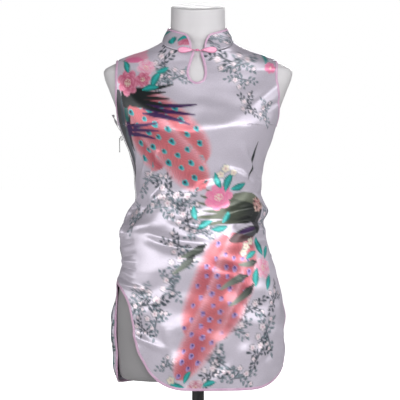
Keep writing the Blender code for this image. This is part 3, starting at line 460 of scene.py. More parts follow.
# Folds as soft ridges, or troughs where the rise is below 0, along a curve through a start, a bend and an
# end, with the half width of the bell across them. x and height are seen from the front, or through the
# dress on the back.
FRONT_FOLDS = [
    # x0, height0, x1, height1, x2, height2, half_width, rise
    (-74, 700, -86, 640, -122, 596, 6, 6.5),
    (-112, 608, -138, 572, -157, 520, 6, 6.5),
    (-66, 676, -74, 622, -106, 590, 9, -3.2),
    (-100, 594, -124, 566, -140, 528, 10, -3.6),
    (-90, 690, -97, 650, -114, 622, 5, -3.4),
    (-98, 700, -103, 666, -116, 634, 4, 3.6),
    (-114, 704, -119, 684, -124, 658, 4, 2.8),
    (-140, 534, -132, 548, -96, 552, 6, 2.4),
    (80, 712, 93, 676, 126, 624, 8, 4.0),
    (96, 700, 112, 660, 130, 640, 6, -2.5),
    (141, 577, 105, 590, 62, 572, 9, 5.0),
    (130, 552, 104, 566, 72, 552, 7, -4.5),
    (138, 536, 112, 545, 82, 530, 8, 4.0),
    (144, 514, 118, 520, 96, 508, 7, -2.0),
    (-100, 536, -60, 516, 14, 514, 8, 3.0),
    (-96, 520, -56, 500, 8, 500, 9, -2.5),
    (-40, 596, 0, 622, 40, 628, 13, 2.8),
    (-66, 566, -30, 552, 6, 548, 8, 2.2),
    (-20, 648, 12, 640, 44, 652, 10, -2.0),
    (10, 745, 50, 752, 100, 742, 16, 2.5),
    (-70, 736, -44, 742, -14, 734, 10, 1.6),
    (-60, 350, -52, 280, -36, 217, 9, 4.0),
    (-132, 330, -104, 318, -66, 300, 7, 3.0),
    (-160, 430, -132, 424, -104, 420, 5, 2.6),
    (44, 668, 84, 650, 122, 622, 11, 4.0),
    (-34, 330, -30, 280, -22, 217, 8, -2.6),
    (50, 250, 90, 285, 128, 345, 11, 0.9),
    (84, 236, 110, 262, 150, 300, 8, -1.5),
    (10, 236, 40, 250, 64, 290, 10, -2.2),
    (40, 430, 60, 390, 84, 350, 16, 2.6),
    (-20, 450, -60, 420, -96, 380, 14, 2.2),
    (-104, 400, -96, 350, -84, 300, 8, 2.4),
    (-158, 486, -142, 482, -122, 492, 4, -1.8),
    (-157, 474, -142, 473, -118, 474, 4, 2.0),
    (-157, 464, -142, 462, -120, 458, 4, -2.0),
    (-158, 454, -142, 450, -124, 442, 4, 1.8),
    (-160, 444, -146, 440, -130, 430, 4, -1.6),
    (-160, 506, -144, 508, -128, 516, 5, -1.8),
    (-150, 842, -120, 812, -96, 786, 12, 2.0),
    (158, 838, 128, 816, 100, 792, 11, 2.2),
    (163, 800, 142, 792, 118, 780, 6, -2.2),
    (-20, 880, -60, 872, -110, 878, 14, 1.4),
    (20, 876, 62, 868, 112, 874, 14, 1.4),
    (-120, 476, -60, 474, 4, 466, 34, 4.0),
    (-72, 424, -40, 418, -6, 424, 22, -2.6),
    (30, 470, 64, 452, 96, 424, 18, 2.6),
    (-96, 596, -70, 612, -40, 604, 12, 2.6),
    (96, 330, 116, 300, 128, 256, 12, 1.0),
    (-168, 414, -171, 330, -165, 236, 10, -6.0),
]
BACK_FOLDS = [
    # x0, height0, x1, height1, x2, height2, half_width, rise
    (-104, 604, 0, 584, 100, 606, 10, 5.0),
    (-110, 584, 0, 566, 104, 582, 8, -3.0),
    (-92, 562, 0, 548, 88, 560, 10, 4.0),
    (-58, 705, -92, 650, -118, 596, 8, 4.5),
    (62, 700, 98, 650, 120, 602, 8, 4.5),
    (-40, 700, -60, 650, -84, 610, 9, -2.5),
    (44, 700, 62, 652, 86, 612, 9, -2.5),
    (-62, 430, -78, 320, -84, 215, 13, 4.5),
    (48, 430, 66, 310, 70, 215, 13, 4.5),
    (-6, 380, -14, 300, -10, 215, 15, -3.5),
    (100, 420, 112, 330, 116, 240, 11, -3.0),
    (-110, 420, -122, 330, -124, 240, 11, -3.0),
    (158, 484, 140, 482, 118, 490, 4, 1.8),
    (158, 468, 140, 466, 118, 466, 4, -1.8),
    (158, 452, 140, 448, 122, 442, 4, 1.6),
]
FOLDS = [(False, *fold) for fold in FRONT_FOLDS] + [(True, *fold) for fold in BACK_FOLDS]
FOLD_STRENGTH = 1.35
FOLD_PLACES = 25
UNROLLED = 2.3  # level millimetres of cloth per degree, for measuring across a fold
WAVES = [
    # tilt, length, phase, size
    (12, 97, 0.4, 1.5),
    (64, 73, 1.9, 1.1),
    (118, 55, 3.1, 0.8),
    (152, 33, 5.2, 0.4),
]
PANEL_COLUMNS = 84
ROW_STEP = 2.5
SETTLED = 1.5
CLOTH_BUST = 0.8
CLOTH_BUST_SPREAD = BUST_SPREAD * 1.25
SHOULDER_FROM = 835.0
SHOULDER_RUN = 40.0
KEYHOLE_FOOT = -2.0
KEYHOLE_FADE = 80.0
CHEST_HALF = 190.0

CLOTH_AT = [smooth(CLOTH_ROWS, column) for column in (1, 2, 3, 4, 5)]
ARMHOLE_AT = [smooth(ARMHOLE, column) for column in (1, 2)]
KEYHOLE_AT = [smooth(KEYHOLE, column) for column in (1, 2)]


def reach(section, x, y, height):
    """How far a section reaches from its middle in the direction of a point."""
    direction = np.arctan2(x, -y)
    across, along, q = half_axes(section, direction, height)
    return (np.abs(np.sin(direction) / across) ** q + np.abs(np.cos(direction) / along) ** q) ** (-1 / q)


def fold_rise(angle, height):
    """The sum of the folds at places on the cloth: a bell of the distance from each fold's curve, fading to
    its two ends as the root of a parabola, and left out past three half widths above and below."""
    level = np.degrees(np.arctan2(np.sin(angle), np.cos(angle)))
    u = np.linspace(0, 1, FOLD_PLACES)
    fade = np.sqrt(np.clip(4 * u * (1 - u) + 0.02, 0, 1))
    total = np.zeros(np.shape(level))
    for behind, x0, h0, x1, h1, x2, h2, half_width, rise in FOLDS:
        x = (1 - u) ** 2 * x0 + 2 * u * (1 - u) * x1 + u**2 * x2
        h = (1 - u) ** 2 * h0 + 2 * u * (1 - u) * h1 + u**2 * h2
        half = np.where(x < 0, CLOTH_AT[0](h), CLOTH_AT[1](h))
        turn = np.degrees(np.arcsin(np.clip(x / half, -1, 1)))
        if behind:
            turn = np.where(turn < 0, -180 - turn, 180 - turn)
        near = (height > h.min() - 3 * half_width) & (height < h.max() + 3 * half_width)
        gap = (level[near][:, None] - turn + 180) % 360 - 180
        away = (gap * UNROLLED) ** 2 + (height[near][:, None] - h) ** 2
        total[near] += FOLD_STRENGTH * rise * (fade * np.exp(-away / half_width**2)).max(axis=-1)
    return total


def slack(angle, height):
    """The cloth's small unevenness: a few long waves of fixed directions, weaker on the chest, and weaker
    still where the cloth is drawn flat over the belly."""
    across, up = np.degrees(angle) * UNROLLED, height
    waves = np.zeros(np.shape(height))
    for tilt, length, phase, size in WAVES:
        run = across * math.cos(math.radians(tilt)) + up * math.sin(math.radians(tilt))
        wander = 1.1 * np.sin(up / 71 + across / 96 + tilt)
        waves += size * np.sin(2 * math.pi * run / length + phase + wander)
    drawn_flat = np.exp(-(((np.degrees(angle) + 28) / 42) ** 2) - ((height - 470) / 85) ** 2)
    strength = np.interp(height, [300, 560, 700, 820, 900], [1.0, 0.9, 0.6, 0.4, 0.15])
    return waves * strength * (1 - 0.75 * drawn_flat)


def cloth_point(angle, height):
    """The cloth's inner face: its section, the bust, the folds and the slack, held off the form by a soft
    maximum, ln(1 + e^x), of the two distances from the middle."""
    x, y = outline(CLOTH_AT, angle, height)
    far = np.hypot(x, y)
    direction = np.arctan2(x, -y)
    rounded = CLOTH_BUST * bust(direction, height, CLOTH_BUST_SPREAD)
    wanted = far - SETTLED + rounded + fold_rise(angle, height) + slack(angle, height)
    slope = np.clip((height - SHOULDER_FROM) / SHOULDER_RUN, 0, 1)
    clear = REST_CLEARANCE + (SHOULDER_CLEARANCE - REST_CLEARANCE) * slope**2 * (3 - 2 * slope)
    least = reach(FORM_AT, x, y, height) + bust(direction, height, BUST_SPREAD) + clear
    held = least + np.logaddexp(0, wanted - least)
    return np.stack([x * held / far, y * held / far, height + 0 * x], axis=-1)


def armhole_angle(height, side):
    """The angle at which the section reaches the armhole's edge, found by halving, or 90 elsewhere."""
    reach_x = ARMHOLE_AT[0 if side < 0 else 1](height)
    low, high = np.zeros_like(height), np.full_like(height, math.pi / 2)
    for _ in range(40):
        middle = (low + high) / 2
        inside = np.abs(outline(CLOTH_AT, side * middle, height)[0]) < reach_x
        low, high = np.where(inside, middle, low), np.where(inside, high, middle)
    open_here = (height < SHOULDER_TIP - 0.02) & (height > ARMHOLE_BOTTOM + 0.02)
    return np.where(open_here, np.degrees(low), 90.0)


def finer(rows):
    """Rows of (centre, side) heights with more between them, at most a step apart."""
    rows = np.array(rows, float)
    parts = []
    for a, b in zip(rows[:-1], rows[1:]):
        steps = max(1, math.ceil(np.abs(b - a).max() / ROW_STEP))
        parts.append(a + (b - a) * np.linspace(0, 1, steps, endpoint=False)[:, None])
    return np.concatenate([*parts, rows[-1:]]).T


def edge_angles(heights, edges, column, side):
    """A panel's side edge as angles: the shoulder ridge, the armhole, the side seam and the slit."""
    seam = smooth([row for row in edges if row[0] >= SLIT_TOP], 1)(heights)
    angles = np.where(heights > SLIT_TOP, seam, smooth(edges, column)(heights))
    arm = armhole_angle(heights, side)
    if column == 2:
        arm = 180 - arm
    return np.where(heights >= ARMHOLE_BOTTOM - 0.01, side * arm, angles)


def side_heights(heights, corner):
    """Side heights below the slit's top, squeezed so that the last one ends at the rounded corner."""
    share = np.clip((SLIT_TOP - heights) / (SLIT_TOP - HEM), 0, None)
    return np.where(heights < SLIT_TOP, SLIT_TOP - share * (SLIT_TOP - corner), heights)


def half_grid(rows, edges, column, side, power, inner):
    """Angles and heights of half a panel, from its middle line (or the keyhole's edge) to its side edge.
    Heights rise to the side as sin^2 above the slit and as a power of the way across below it. column is 1
    for the front's edges and 2 for the back's."""
    centre, low = rows
    low = side_heights(low, edges[-1][0])
    outer = edge_angles(low, edges, column, side)
    x, y = outline(CLOTH_AT, np.radians(outer), low)
    outer = outer - (side if column == 1 else -side) * np.degrees(SEAM_BACK / np.hypot(x, y))
    share = np.linspace(0, 1, PANEL_COLUMNS)[None, :]
    share = share + 0.06 * np.sin(2 * math.pi * share) / 2
    angles = inner[:, None] + (outer - inner)[:, None] * share
    lift = np.where(centre < SLIT_TOP + 60, share.T**power, np.sin(share.T * math.pi / 2) ** 2).T
    return np.radians(angles), centre[:, None] + (low - centre)[:, None] * lift


FRONT_ROWS = [
    # centre, side
    (FRONT_NECK, SHOULDER_POINT),
    (892, 909.5),
    (881, 895),
    (872, SHOULDER_TIP),
    (864, 879),
    (858, 874.5),
    (851, 865),
    (845, 851),
    (840, 843),
    (KEYHOLE_BOTTOM, KEYHOLE_BOTTOM),
    (ARMHOLE_BOTTOM + 0.3, ARMHOLE_BOTTOM + 0.3),
    (ARMHOLE_BOTTOM, ARMHOLE_BOTTOM),
    (SLIT_TOP, SLIT_TOP),
    (HEM, HEM),
]
front_rows = finer(FRONT_ROWS)


def keyhole_line(centre, side):
    """The inner edge of half the front as angles: the keyhole's edge, and the centre line below it."""
    half = CLOTH_AT[0 if side < 0 else 1](centre)
    edge = np.degrees(np.arcsin(KEYHOLE_AT[0 if side < 0 else 1](centre) / half))
    aside = np.clip((centre - KEYHOLE_BOTTOM + KEYHOLE_FADE) / KEYHOLE_FADE, 0, 1)
    below = math.degrees(KEYHOLE_FOOT / CHEST_HALF) * aside
    return np.where(centre > KEYHOLE_BOTTOM, edge, below)


def unit(vectors):
    """The vectors at a length of 1."""
    return vectors / np.maximum(np.linalg.norm(vectors, axis=-1, keepdims=True), 1e-9)


def surface(points):
    """A grid of points with its unit normals, from its slopes down the rows and across the columns."""
    square = np.cross(np.gradient(points, axis=1), -np.gradient(points, axis=0))
    return {"points": points, "normals": unit(square)}


def flat_places(points):
    """Where a grid's points lie on the flat cloth: the way along the row, and the height."""
    run = np.cumsum(np.linalg.norm(np.diff(points, axis=1), axis=-1), axis=1)
    return np.stack([np.concatenate([np.zeros((len(points), 1)), run], axis=1), points[..., 2]], axis=-1)


front_halves = {}
front_flats = []
for side, edges, corner in ((-1, RIGHT_EDGES, "front_right"), (1, LEFT_EDGES, "front_left")):
    inner = keyhole_line(front_rows[0], side)
    grid = cloth_point(*half_grid(front_rows, edges, 1, side, CORNER_POWERS[corner], inner))
    flat = flat_places(grid) * [side, 1]
    flat[..., 0] += grid[:, :1, 0]
    front_halves[side] = surface(grid[:, ::side])
    front_flats.append(flat[:, ::side])
right, left = front_halves[-1], front_halves[1]
below_keyhole = front_rows[0] <= KEYHOLE_BOTTOM + 0.01
index_right = numbered(right["points"])
index_left = index_right + index_right.size
index_left[below_keyhole, 0] = index_right[below_keyhole, -1]
front_points = np.concatenate([half["points"].reshape(-1, 3) for half in (right, left)])
front_flat = np.concatenate([flat.reshape(-1, 2) for flat in front_flats])
front_quads = np.concatenate([cells(index_right), cells(index_left)])


def without_strays(points, quads, flat):
    """The points that the quads use, with their flat places, and the quads with their new numbers."""
    used = np.unique(quads)
    place = np.full(len(points), -1)
    place[used] = np.arange(len(used))
    return points[used], place[quads], flat[used]


def run_along(path):
    """The way along a path up to each of its points."""
    return np.concatenate([[0], np.cumsum(np.linalg.norm(np.diff(path, axis=0), axis=1))])


def soft(inside, width):
    """1 inside a shape and 0 outside it, over a soft edge of that width."""
    return np.clip(inside / width + 0.5, 0, 1)


def between(start, end, share):
    """A colour for each point, that share of the way from one colour to the other."""
    return np.array(start) * (1 - share[:, None]) + np.array(end) * share[:, None]


def aim(turn):
    """The cosine and the sine of an angle in degrees."""
    return math.cos(math.radians(turn)), math.sin(math.radians(turn))


GROUND = (0.60, 0.555, 0.645)
DEEP = (0.46, 0.07, 0.115)
WARM = (0.64, 0.16, 0.175)
PALE = (0.74, 0.34, 0.40)
CREAM = (0.80, 0.72, 0.58)
PEONY_RIM = (0.86, 0.36, 0.50)
CANDY = (0.84, 0.14, 0.36)
MAGENTA = (0.46, 0.012, 0.10)
TEAL = (0.002, 0.13, 0.12)
AQUA = (0.02, 0.46, 0.44)
INK = (0.004, 0.008, 0.010)
OLIVE = (0.12, 0.14, 0.09)
SAGE = (0.27, 0.31, 0.26)
PURPLE = (0.045, 0.006, 0.09)
DUSK = (0.024, 0.032, 0.046)
SLATE = (0.06, 0.085, 0.11)
MIST = (0.24, 0.30, 0.34)
PETAL = (0.84, 0.74, 0.79)
BLUSH = (0.62, 0.32, 0.42)
# An eye spot's ring, iris and heart, its size, and the spacing of its rows along the plume and of its lanes.
TURQUOISE_EYES = ((0.08, 0.50, 0.54), (0.01, 0.30, 0.34), (0.002, 0.012, 0.03)), 4.8, 26.0, 23.0
VIOLET_EYES = ((0.42, 0.33, 0.58), (0.34, 0.22, 0.52), (0.03, 0.01, 0.16)), 4.0, 22.0, 20.0
CURVE_PLACES = 48
MOTIF_REACH = 60.0  # a curve's motif ends within this distance of it
FAR_OFF = 1e4
EDGE = 1.6  # the soft edge of most motifs
FIRST_EYE = 0.1  # the share of a plume that has no eyes at its root
LEAF_SHARE = 0.165
TWIG_AND_SHOOTS = [
    # path, width, as shares of the spray's size
    ([(-1.0, -0.1), (-0.4, 0.25), (0.3, -0.2), (1.0, 0.2)], 0.1),
    ([(-0.35, 0.05), (-0.1, 0.4), (0.1, 0.75)], 0.07),
    ([(0.2, -0.02), (0.4, -0.4), (0.75, -0.55)], 0.07),
]
LEAF_CLUSTERS = [
    # a, b, run, count
    (-0.8, 0.02, 175, 5),
    (-0.2, 0.3, 110, 4),
    (0.35, -0.34, 300, 5),
    (0.8, 0.12, 15, 5),
    (0.0, 0.02, 340, 3),
]
SPRAY_BLOSSOMS = [(-0.5, 0.26, 0.16), (0.08, 0.66, 0.21), (0.48, 0.2, 0.24), (0.66, -0.54, 0.16)]


class Print:
    """The satin's print, laid down in flat millimetres of cloth: places are (across, up), where across is
    measured along the cloth from the middle line. Each call blends one motif's colours over what is
    there."""

    def __init__(self, flat):
        self.flat = flat.reshape(-1, 2)
        self.colour = np.tile(np.array(GROUND), (len(self.flat), 1))

    def blend(self, mask, colour):
        colour = np.asarray(colour, float)
        self.colour += (colour - self.colour) * np.clip(mask, 0, 1)[:, None]

    def local(self, x, z, turn):
        """Across and up from a place, turned."""
        c, s = aim(turn)
        gap = self.flat - [x, z]
        return gap[:, 0] * c + gap[:, 1] * s, -gap[:, 0] * s + gap[:, 1] * c

    def follow(self, places):
        """The way along and across a Bezier curve through those control places, and the curve's length."""
        u = np.linspace(0, 1, CURVE_PLACES)[:, None, None]
        points = np.array(places, float)[None]
        while points.shape[1] > 1:
            points = points[:, :-1] * (1 - u) + points[:, 1:] * u
        path = points[:, 0]
        tangent = unit(np.gradient(path, axis=0))
        run = run_along(path)
        low, high = path.min(0) - MOTIF_REACH, path.max(0) + MOTIF_REACH
        inside = ((self.flat > low) & (self.flat < high)).all(axis=1)
        along = np.full(len(self.flat), FAR_OFF)
        across = np.full(len(self.flat), FAR_OFF)
        gap = self.flat[inside][:, None] - path
        near = (gap**2).sum(-1).argmin(1)
        here = gap[np.arange(len(near)), near]
        along[inside] = run[near] + (here * tangent[near]).sum(1)
        across[inside] = here[:, 1] * tangent[near, 0] - here[:, 0] * tangent[near, 1]
        return along, across, run[-1]

    def stroke(self, places, width, colour, strength=1.0, taper=0.6):
        """A brush stroke that swells in its middle and tapers to both ends."""
        along, across, length = self.follow(places)
        share = np.clip(along / length, 0, 1)
        half = width / 2 * np.sin(np.pi * np.clip(share * 0.96 + 0.02, 0, 1)) ** taper
        ends = (along > -EDGE) & (along < length + EDGE)
        self.blend(strength * ends * soft(half - np.abs(across), EDGE), colour)

    def blade(self, root, tip, bend, width, dark, light):
        """A long pointed blade, widest near its root, dark there and paler to its tip, with a thin pale
        rib."""
        (x0, z0), (x1, z1) = root, tip
        middle = ((x0 + x1) / 2 - bend * (z1 - z0), (z0 + z1) / 2 + bend * (x1 - x0))
        along, across, length = self.follow([root, middle, tip])
        share = np.clip(along / length, 0, 1)
        half = 0.5 + width / 2 * np.clip(share / 0.25, 0.3, 1) * np.clip((1 - share) / 0.75, 0, 1) ** 0.6
        body = between(dark, light, np.clip(share * 1.5 - 0.25, 0, 1))
        inside = (along > 0) & (along < length)
        self.blend(inside * np.clip((half - np.abs(across)) / 2.0 + 0.6, 0, 1), body)
        self.blend(inside * 0.3 * (share < 0.7) * np.clip(0.9 - np.abs(across) / 1.5, 0, 1), light)

    def leaf(self, x, z, length, width, turn, dark, light, bend=0.0):
        """A leaf: a lens whose half width goes as sin of the way along, dark at its edges, with a pale
        rib."""
        a, b = self.local(x, z, turn)
        share = a / length + 0.5
        b = b - bend * np.sin(np.pi * np.clip(share, 0, 1))
        half = width / 2 * np.sin(np.pi * np.clip(share, 0, 1)) ** 0.8
        veins = 0.5 + 0.5 * np.sin((a + 1.4 * np.abs(b)) * 2 * math.pi / 7)
        body = between(light, dark, np.clip(np.abs(b) / np.maximum(half, 1) * 0.8 + 0.25 * veins, 0, 1))
        mask = (share > 0) & (share < 1)
        self.blend(mask * soft(half - np.abs(b), EDGE), body)
        self.blend(mask * 0.6 * np.clip(1.0 - np.abs(b) / 1.3, 0, 1) * (share < 0.85), np.array(light) * 1.25)

    def peony(self, x, z, size, turn, edge_colour, middle, heart):
        """A peony: four rings of scalloped petals, deep at each petal's root and pale at its rim, round a
        tuft of short stamens."""
        a, b = self.local(x, z, turn)
        b = b * 1.15
        far, way = np.hypot(a, b), np.arctan2(b, a)
        for share, petals, shift in ((1.0, 7, 0.0), (0.78, 6, 0.5), (0.56, 5, 1.1), (0.34, 5, 0.2)):
            scallop = np.abs(np.sin(petals * way / 2 + shift + 0.25 * np.sin(3 * way)))
            rim = size * share * (0.74 + 0.28 * scallop**0.6)
            tone = np.clip((far / np.maximum(rim, 1)) ** 3 * (0.35 + 0.65 * scallop), 0, 1)
            self.blend(soft(rim - far, EDGE), between(middle, edge_colour, tone))
        stamens = 0.5 + 0.5 * np.sin(9 * way)
        self.blend(stamens * soft(size * 0.3 - far, EDGE), heart)

    def blossom(self, x, z, size, turn, colour, heart, outline_colour):
        """A plum blossom: five round petals with a darker outline."""
        a, b = self.local(x, z, turn)
        far, way = np.hypot(a, b), np.arctan2(b, a)
        rim = size * (0.7 + 0.3 * np.abs(np.cos(2.5 * way)))
        self.blend(0.55 * soft(rim + 1.1 - far, 1.5), outline_colour)
        self.blend(soft(rim - 0.6 - far, 1.3), colour)
        self.blend(0.8 * soft(size * 0.24 - far, 1.2), heart)

    def spray(self, x, z, turn, size, twig, petal, heart, leaf):
        """A plum spray: a bent twig with side shoots, small pointed leaves in clusters and four blossoms."""
        c, s = aim(turn)

        def place(a, b):
            return (x + size * (a * c - b * s), z + size * (a * s + b * c))

        for path, width in TWIG_AND_SHOOTS:
            self.stroke([place(*point) for point in path], max(2.2, size * width), twig, 0.9)
        for a, b, run, count in LEAF_CLUSTERS:
            c_run, s_run = aim(run)
            for k in range(count):
                step = 0.15 * (k - (count - 1) / 2)
                tip = run if k == count - 1 else run + (-1) ** k * (50 + 9 * math.sin(3 * k + x))
                reach_out = 0.34 + 0.08 * math.sin(2.3 * k + 5 * a + x)
                c_tip, s_tip = aim(tip)
                a_middle = a + step * c_run + 0.55 * reach_out * c_tip
                b_middle = b + step * s_run + 0.55 * reach_out * s_tip
                bend = 0.03 * size * (-1) ** k
                middle = place(a_middle, b_middle)
                self.leaf(*middle, size * reach_out, size * LEAF_SHARE, turn + tip, twig, leaf, bend)
        for a, b, part in SPRAY_BLOSSOMS:
            self.blossom(*place(a, b), size * part, turn + 40 * a, petal, heart, twig)

    def plume(self, places, start, end, eye, eye_size, spacing, lane_width):
        """A broad soft plume: a band that is deep in its middle and paler to its sides, combed by fine
        hairs that sweep back from its rib to a ragged edge. Eye spots (ring, iris, heart) stand on it in
        staggered rows."""
        along, across, length = self.follow(places)
        share = np.clip(along / length, 0, 1)
        half = (start + (end - start) * share) / 2 * np.clip(0.62 + share / 0.5, 0, 1)
        half = half * np.sqrt(np.clip(1 - (np.clip(share - 0.72, 0, 1) / 0.28) ** 2.2, 0, 1))
        hair = np.sin((along - 1.3 * np.abs(across)) * 2 * math.pi / 7.5 + 1.7 * np.sin(across / 7))
        edge = half * (0.94 + 0.1 * hair)
        out = np.clip(np.abs(across) / np.maximum(half, 1), 0, 1)
        patch = 0.5 + 0.5 * np.sin(along / 23 + 1.7 * np.sin(across / 15 + share * 4))
        body = between(between(DEEP, WARM, np.clip(0.25 + 0.5 * patch, 0, 1)), PALE, out**2.5)
        comb = np.sin((along * 0.8 - 1.9 * np.abs(across)) * 2 * math.pi / 8.9 + 2.2 * np.sin(along / 11))
        body *= (1 + 0.06 * hair + 0.06 * comb)[:, None]
        ends = (along > -2) & (along < length + 2)
        self.blend(0.6 * ends * soft(half * 1.12 - np.abs(across), 7), PALE)
        self.blend(ends * soft(edge - np.abs(across), 2.6), body)
        row = np.round(along / spacing)
        shift = np.where(row % 2 == 0, 0.0, 0.5)
        lane = np.round(across / lane_width - shift)
        a = along - row * spacing - 3.2 * np.sin(lane * 2.1 + row)
        b = across - (lane + shift) * lane_width - 2.4 * np.sin(row * 1.3 + lane)
        size = eye_size * (1 + 0.14 * np.sin(row * 2.7 + lane * 1.9))
        far = np.hypot(a * np.where(a > 0, 0.66, 1.05), b * (1.05 + 0.02 * a))
        fits = (np.abs(lane + shift) * lane_width < half - 5) & (row * spacing > FIRST_EYE * length) & ends
        heart = np.hypot((a + 1.6) * np.where(a > 0, 0.66, 1.05), b)
        for part, ring, colour in zip((1.2, 0.9, 0.5), (far, far, heart), eye):
            self.blend(fits * soft(size * part - ring, 1.3), colour)

    def blades(self, x, z, turn, spread, length, count, width, dark, light, stagger):
        """A fan of long pointed blades, drawn from its two sides to the middle, whose roots lie side by
        side."""
        c, s = aim(turn)
        for k in sorted(range(count), key=lambda k: -abs(k - (count - 1) / 2)):
            share = k / max(1, count - 1) - 0.5
            c_tip, s_tip = aim(turn + spread * share)
            reach_out = length * (0.74 + 0.26 * math.sin(1.7 * k + 0.6) ** 2)
            root = (x - stagger * share * s, z + stagger * share * c)
            tip = (root[0] + reach_out * c_tip, root[1] + reach_out * s_tip)
            self.blade(root, tip, -0.16 * share, width, dark, light)


FRONT_SPRAYS = [
    # x, z, turn, size
    (-66, 876, 100, 30),
    (-40, 846, 30, 26),
    (-74, 838, 70, 22),
    (56, 884, 160, 32),
    (90, 872, 20, 30),
    (88, 844, 170, 26),
    (104, 792, 130, 24),
    (146, 776, 110, 24),
    (-104, 640, 60, 30),
    (-58, 622, 150, 32),
    (-30, 592, 40, 34),
    (-78, 584, 10, 34),
    (-20, 560, 110, 30),
    (8, 536, 20, 28),
    (-146, 560, 80, 26),
    (-40, 512, 160, 28),
    (-34, 466, 70, 32),
    (-52, 430, 120, 30),
    (-100, 388, 10, 38),
    (-84, 356, 80, 30),
    (-122, 410, 40, 26),
    (110, 378, 30, 32),
    (74, 338, 20, 32),
    (148, 330, 110, 36),
    (128, 290, 60, 32),
    (12, 288, 20, 32),
    (52, 270, 150, 34),
    (28, 246, 60, 30),
    (86, 242, 10, 30),
    (-58, 268, 20, 26),
    (172, 400, 60, 28),
    (164, 560, 100, 24),
    (-134, 372, 60, 26),
    (-118, 344, 150, 24),
]


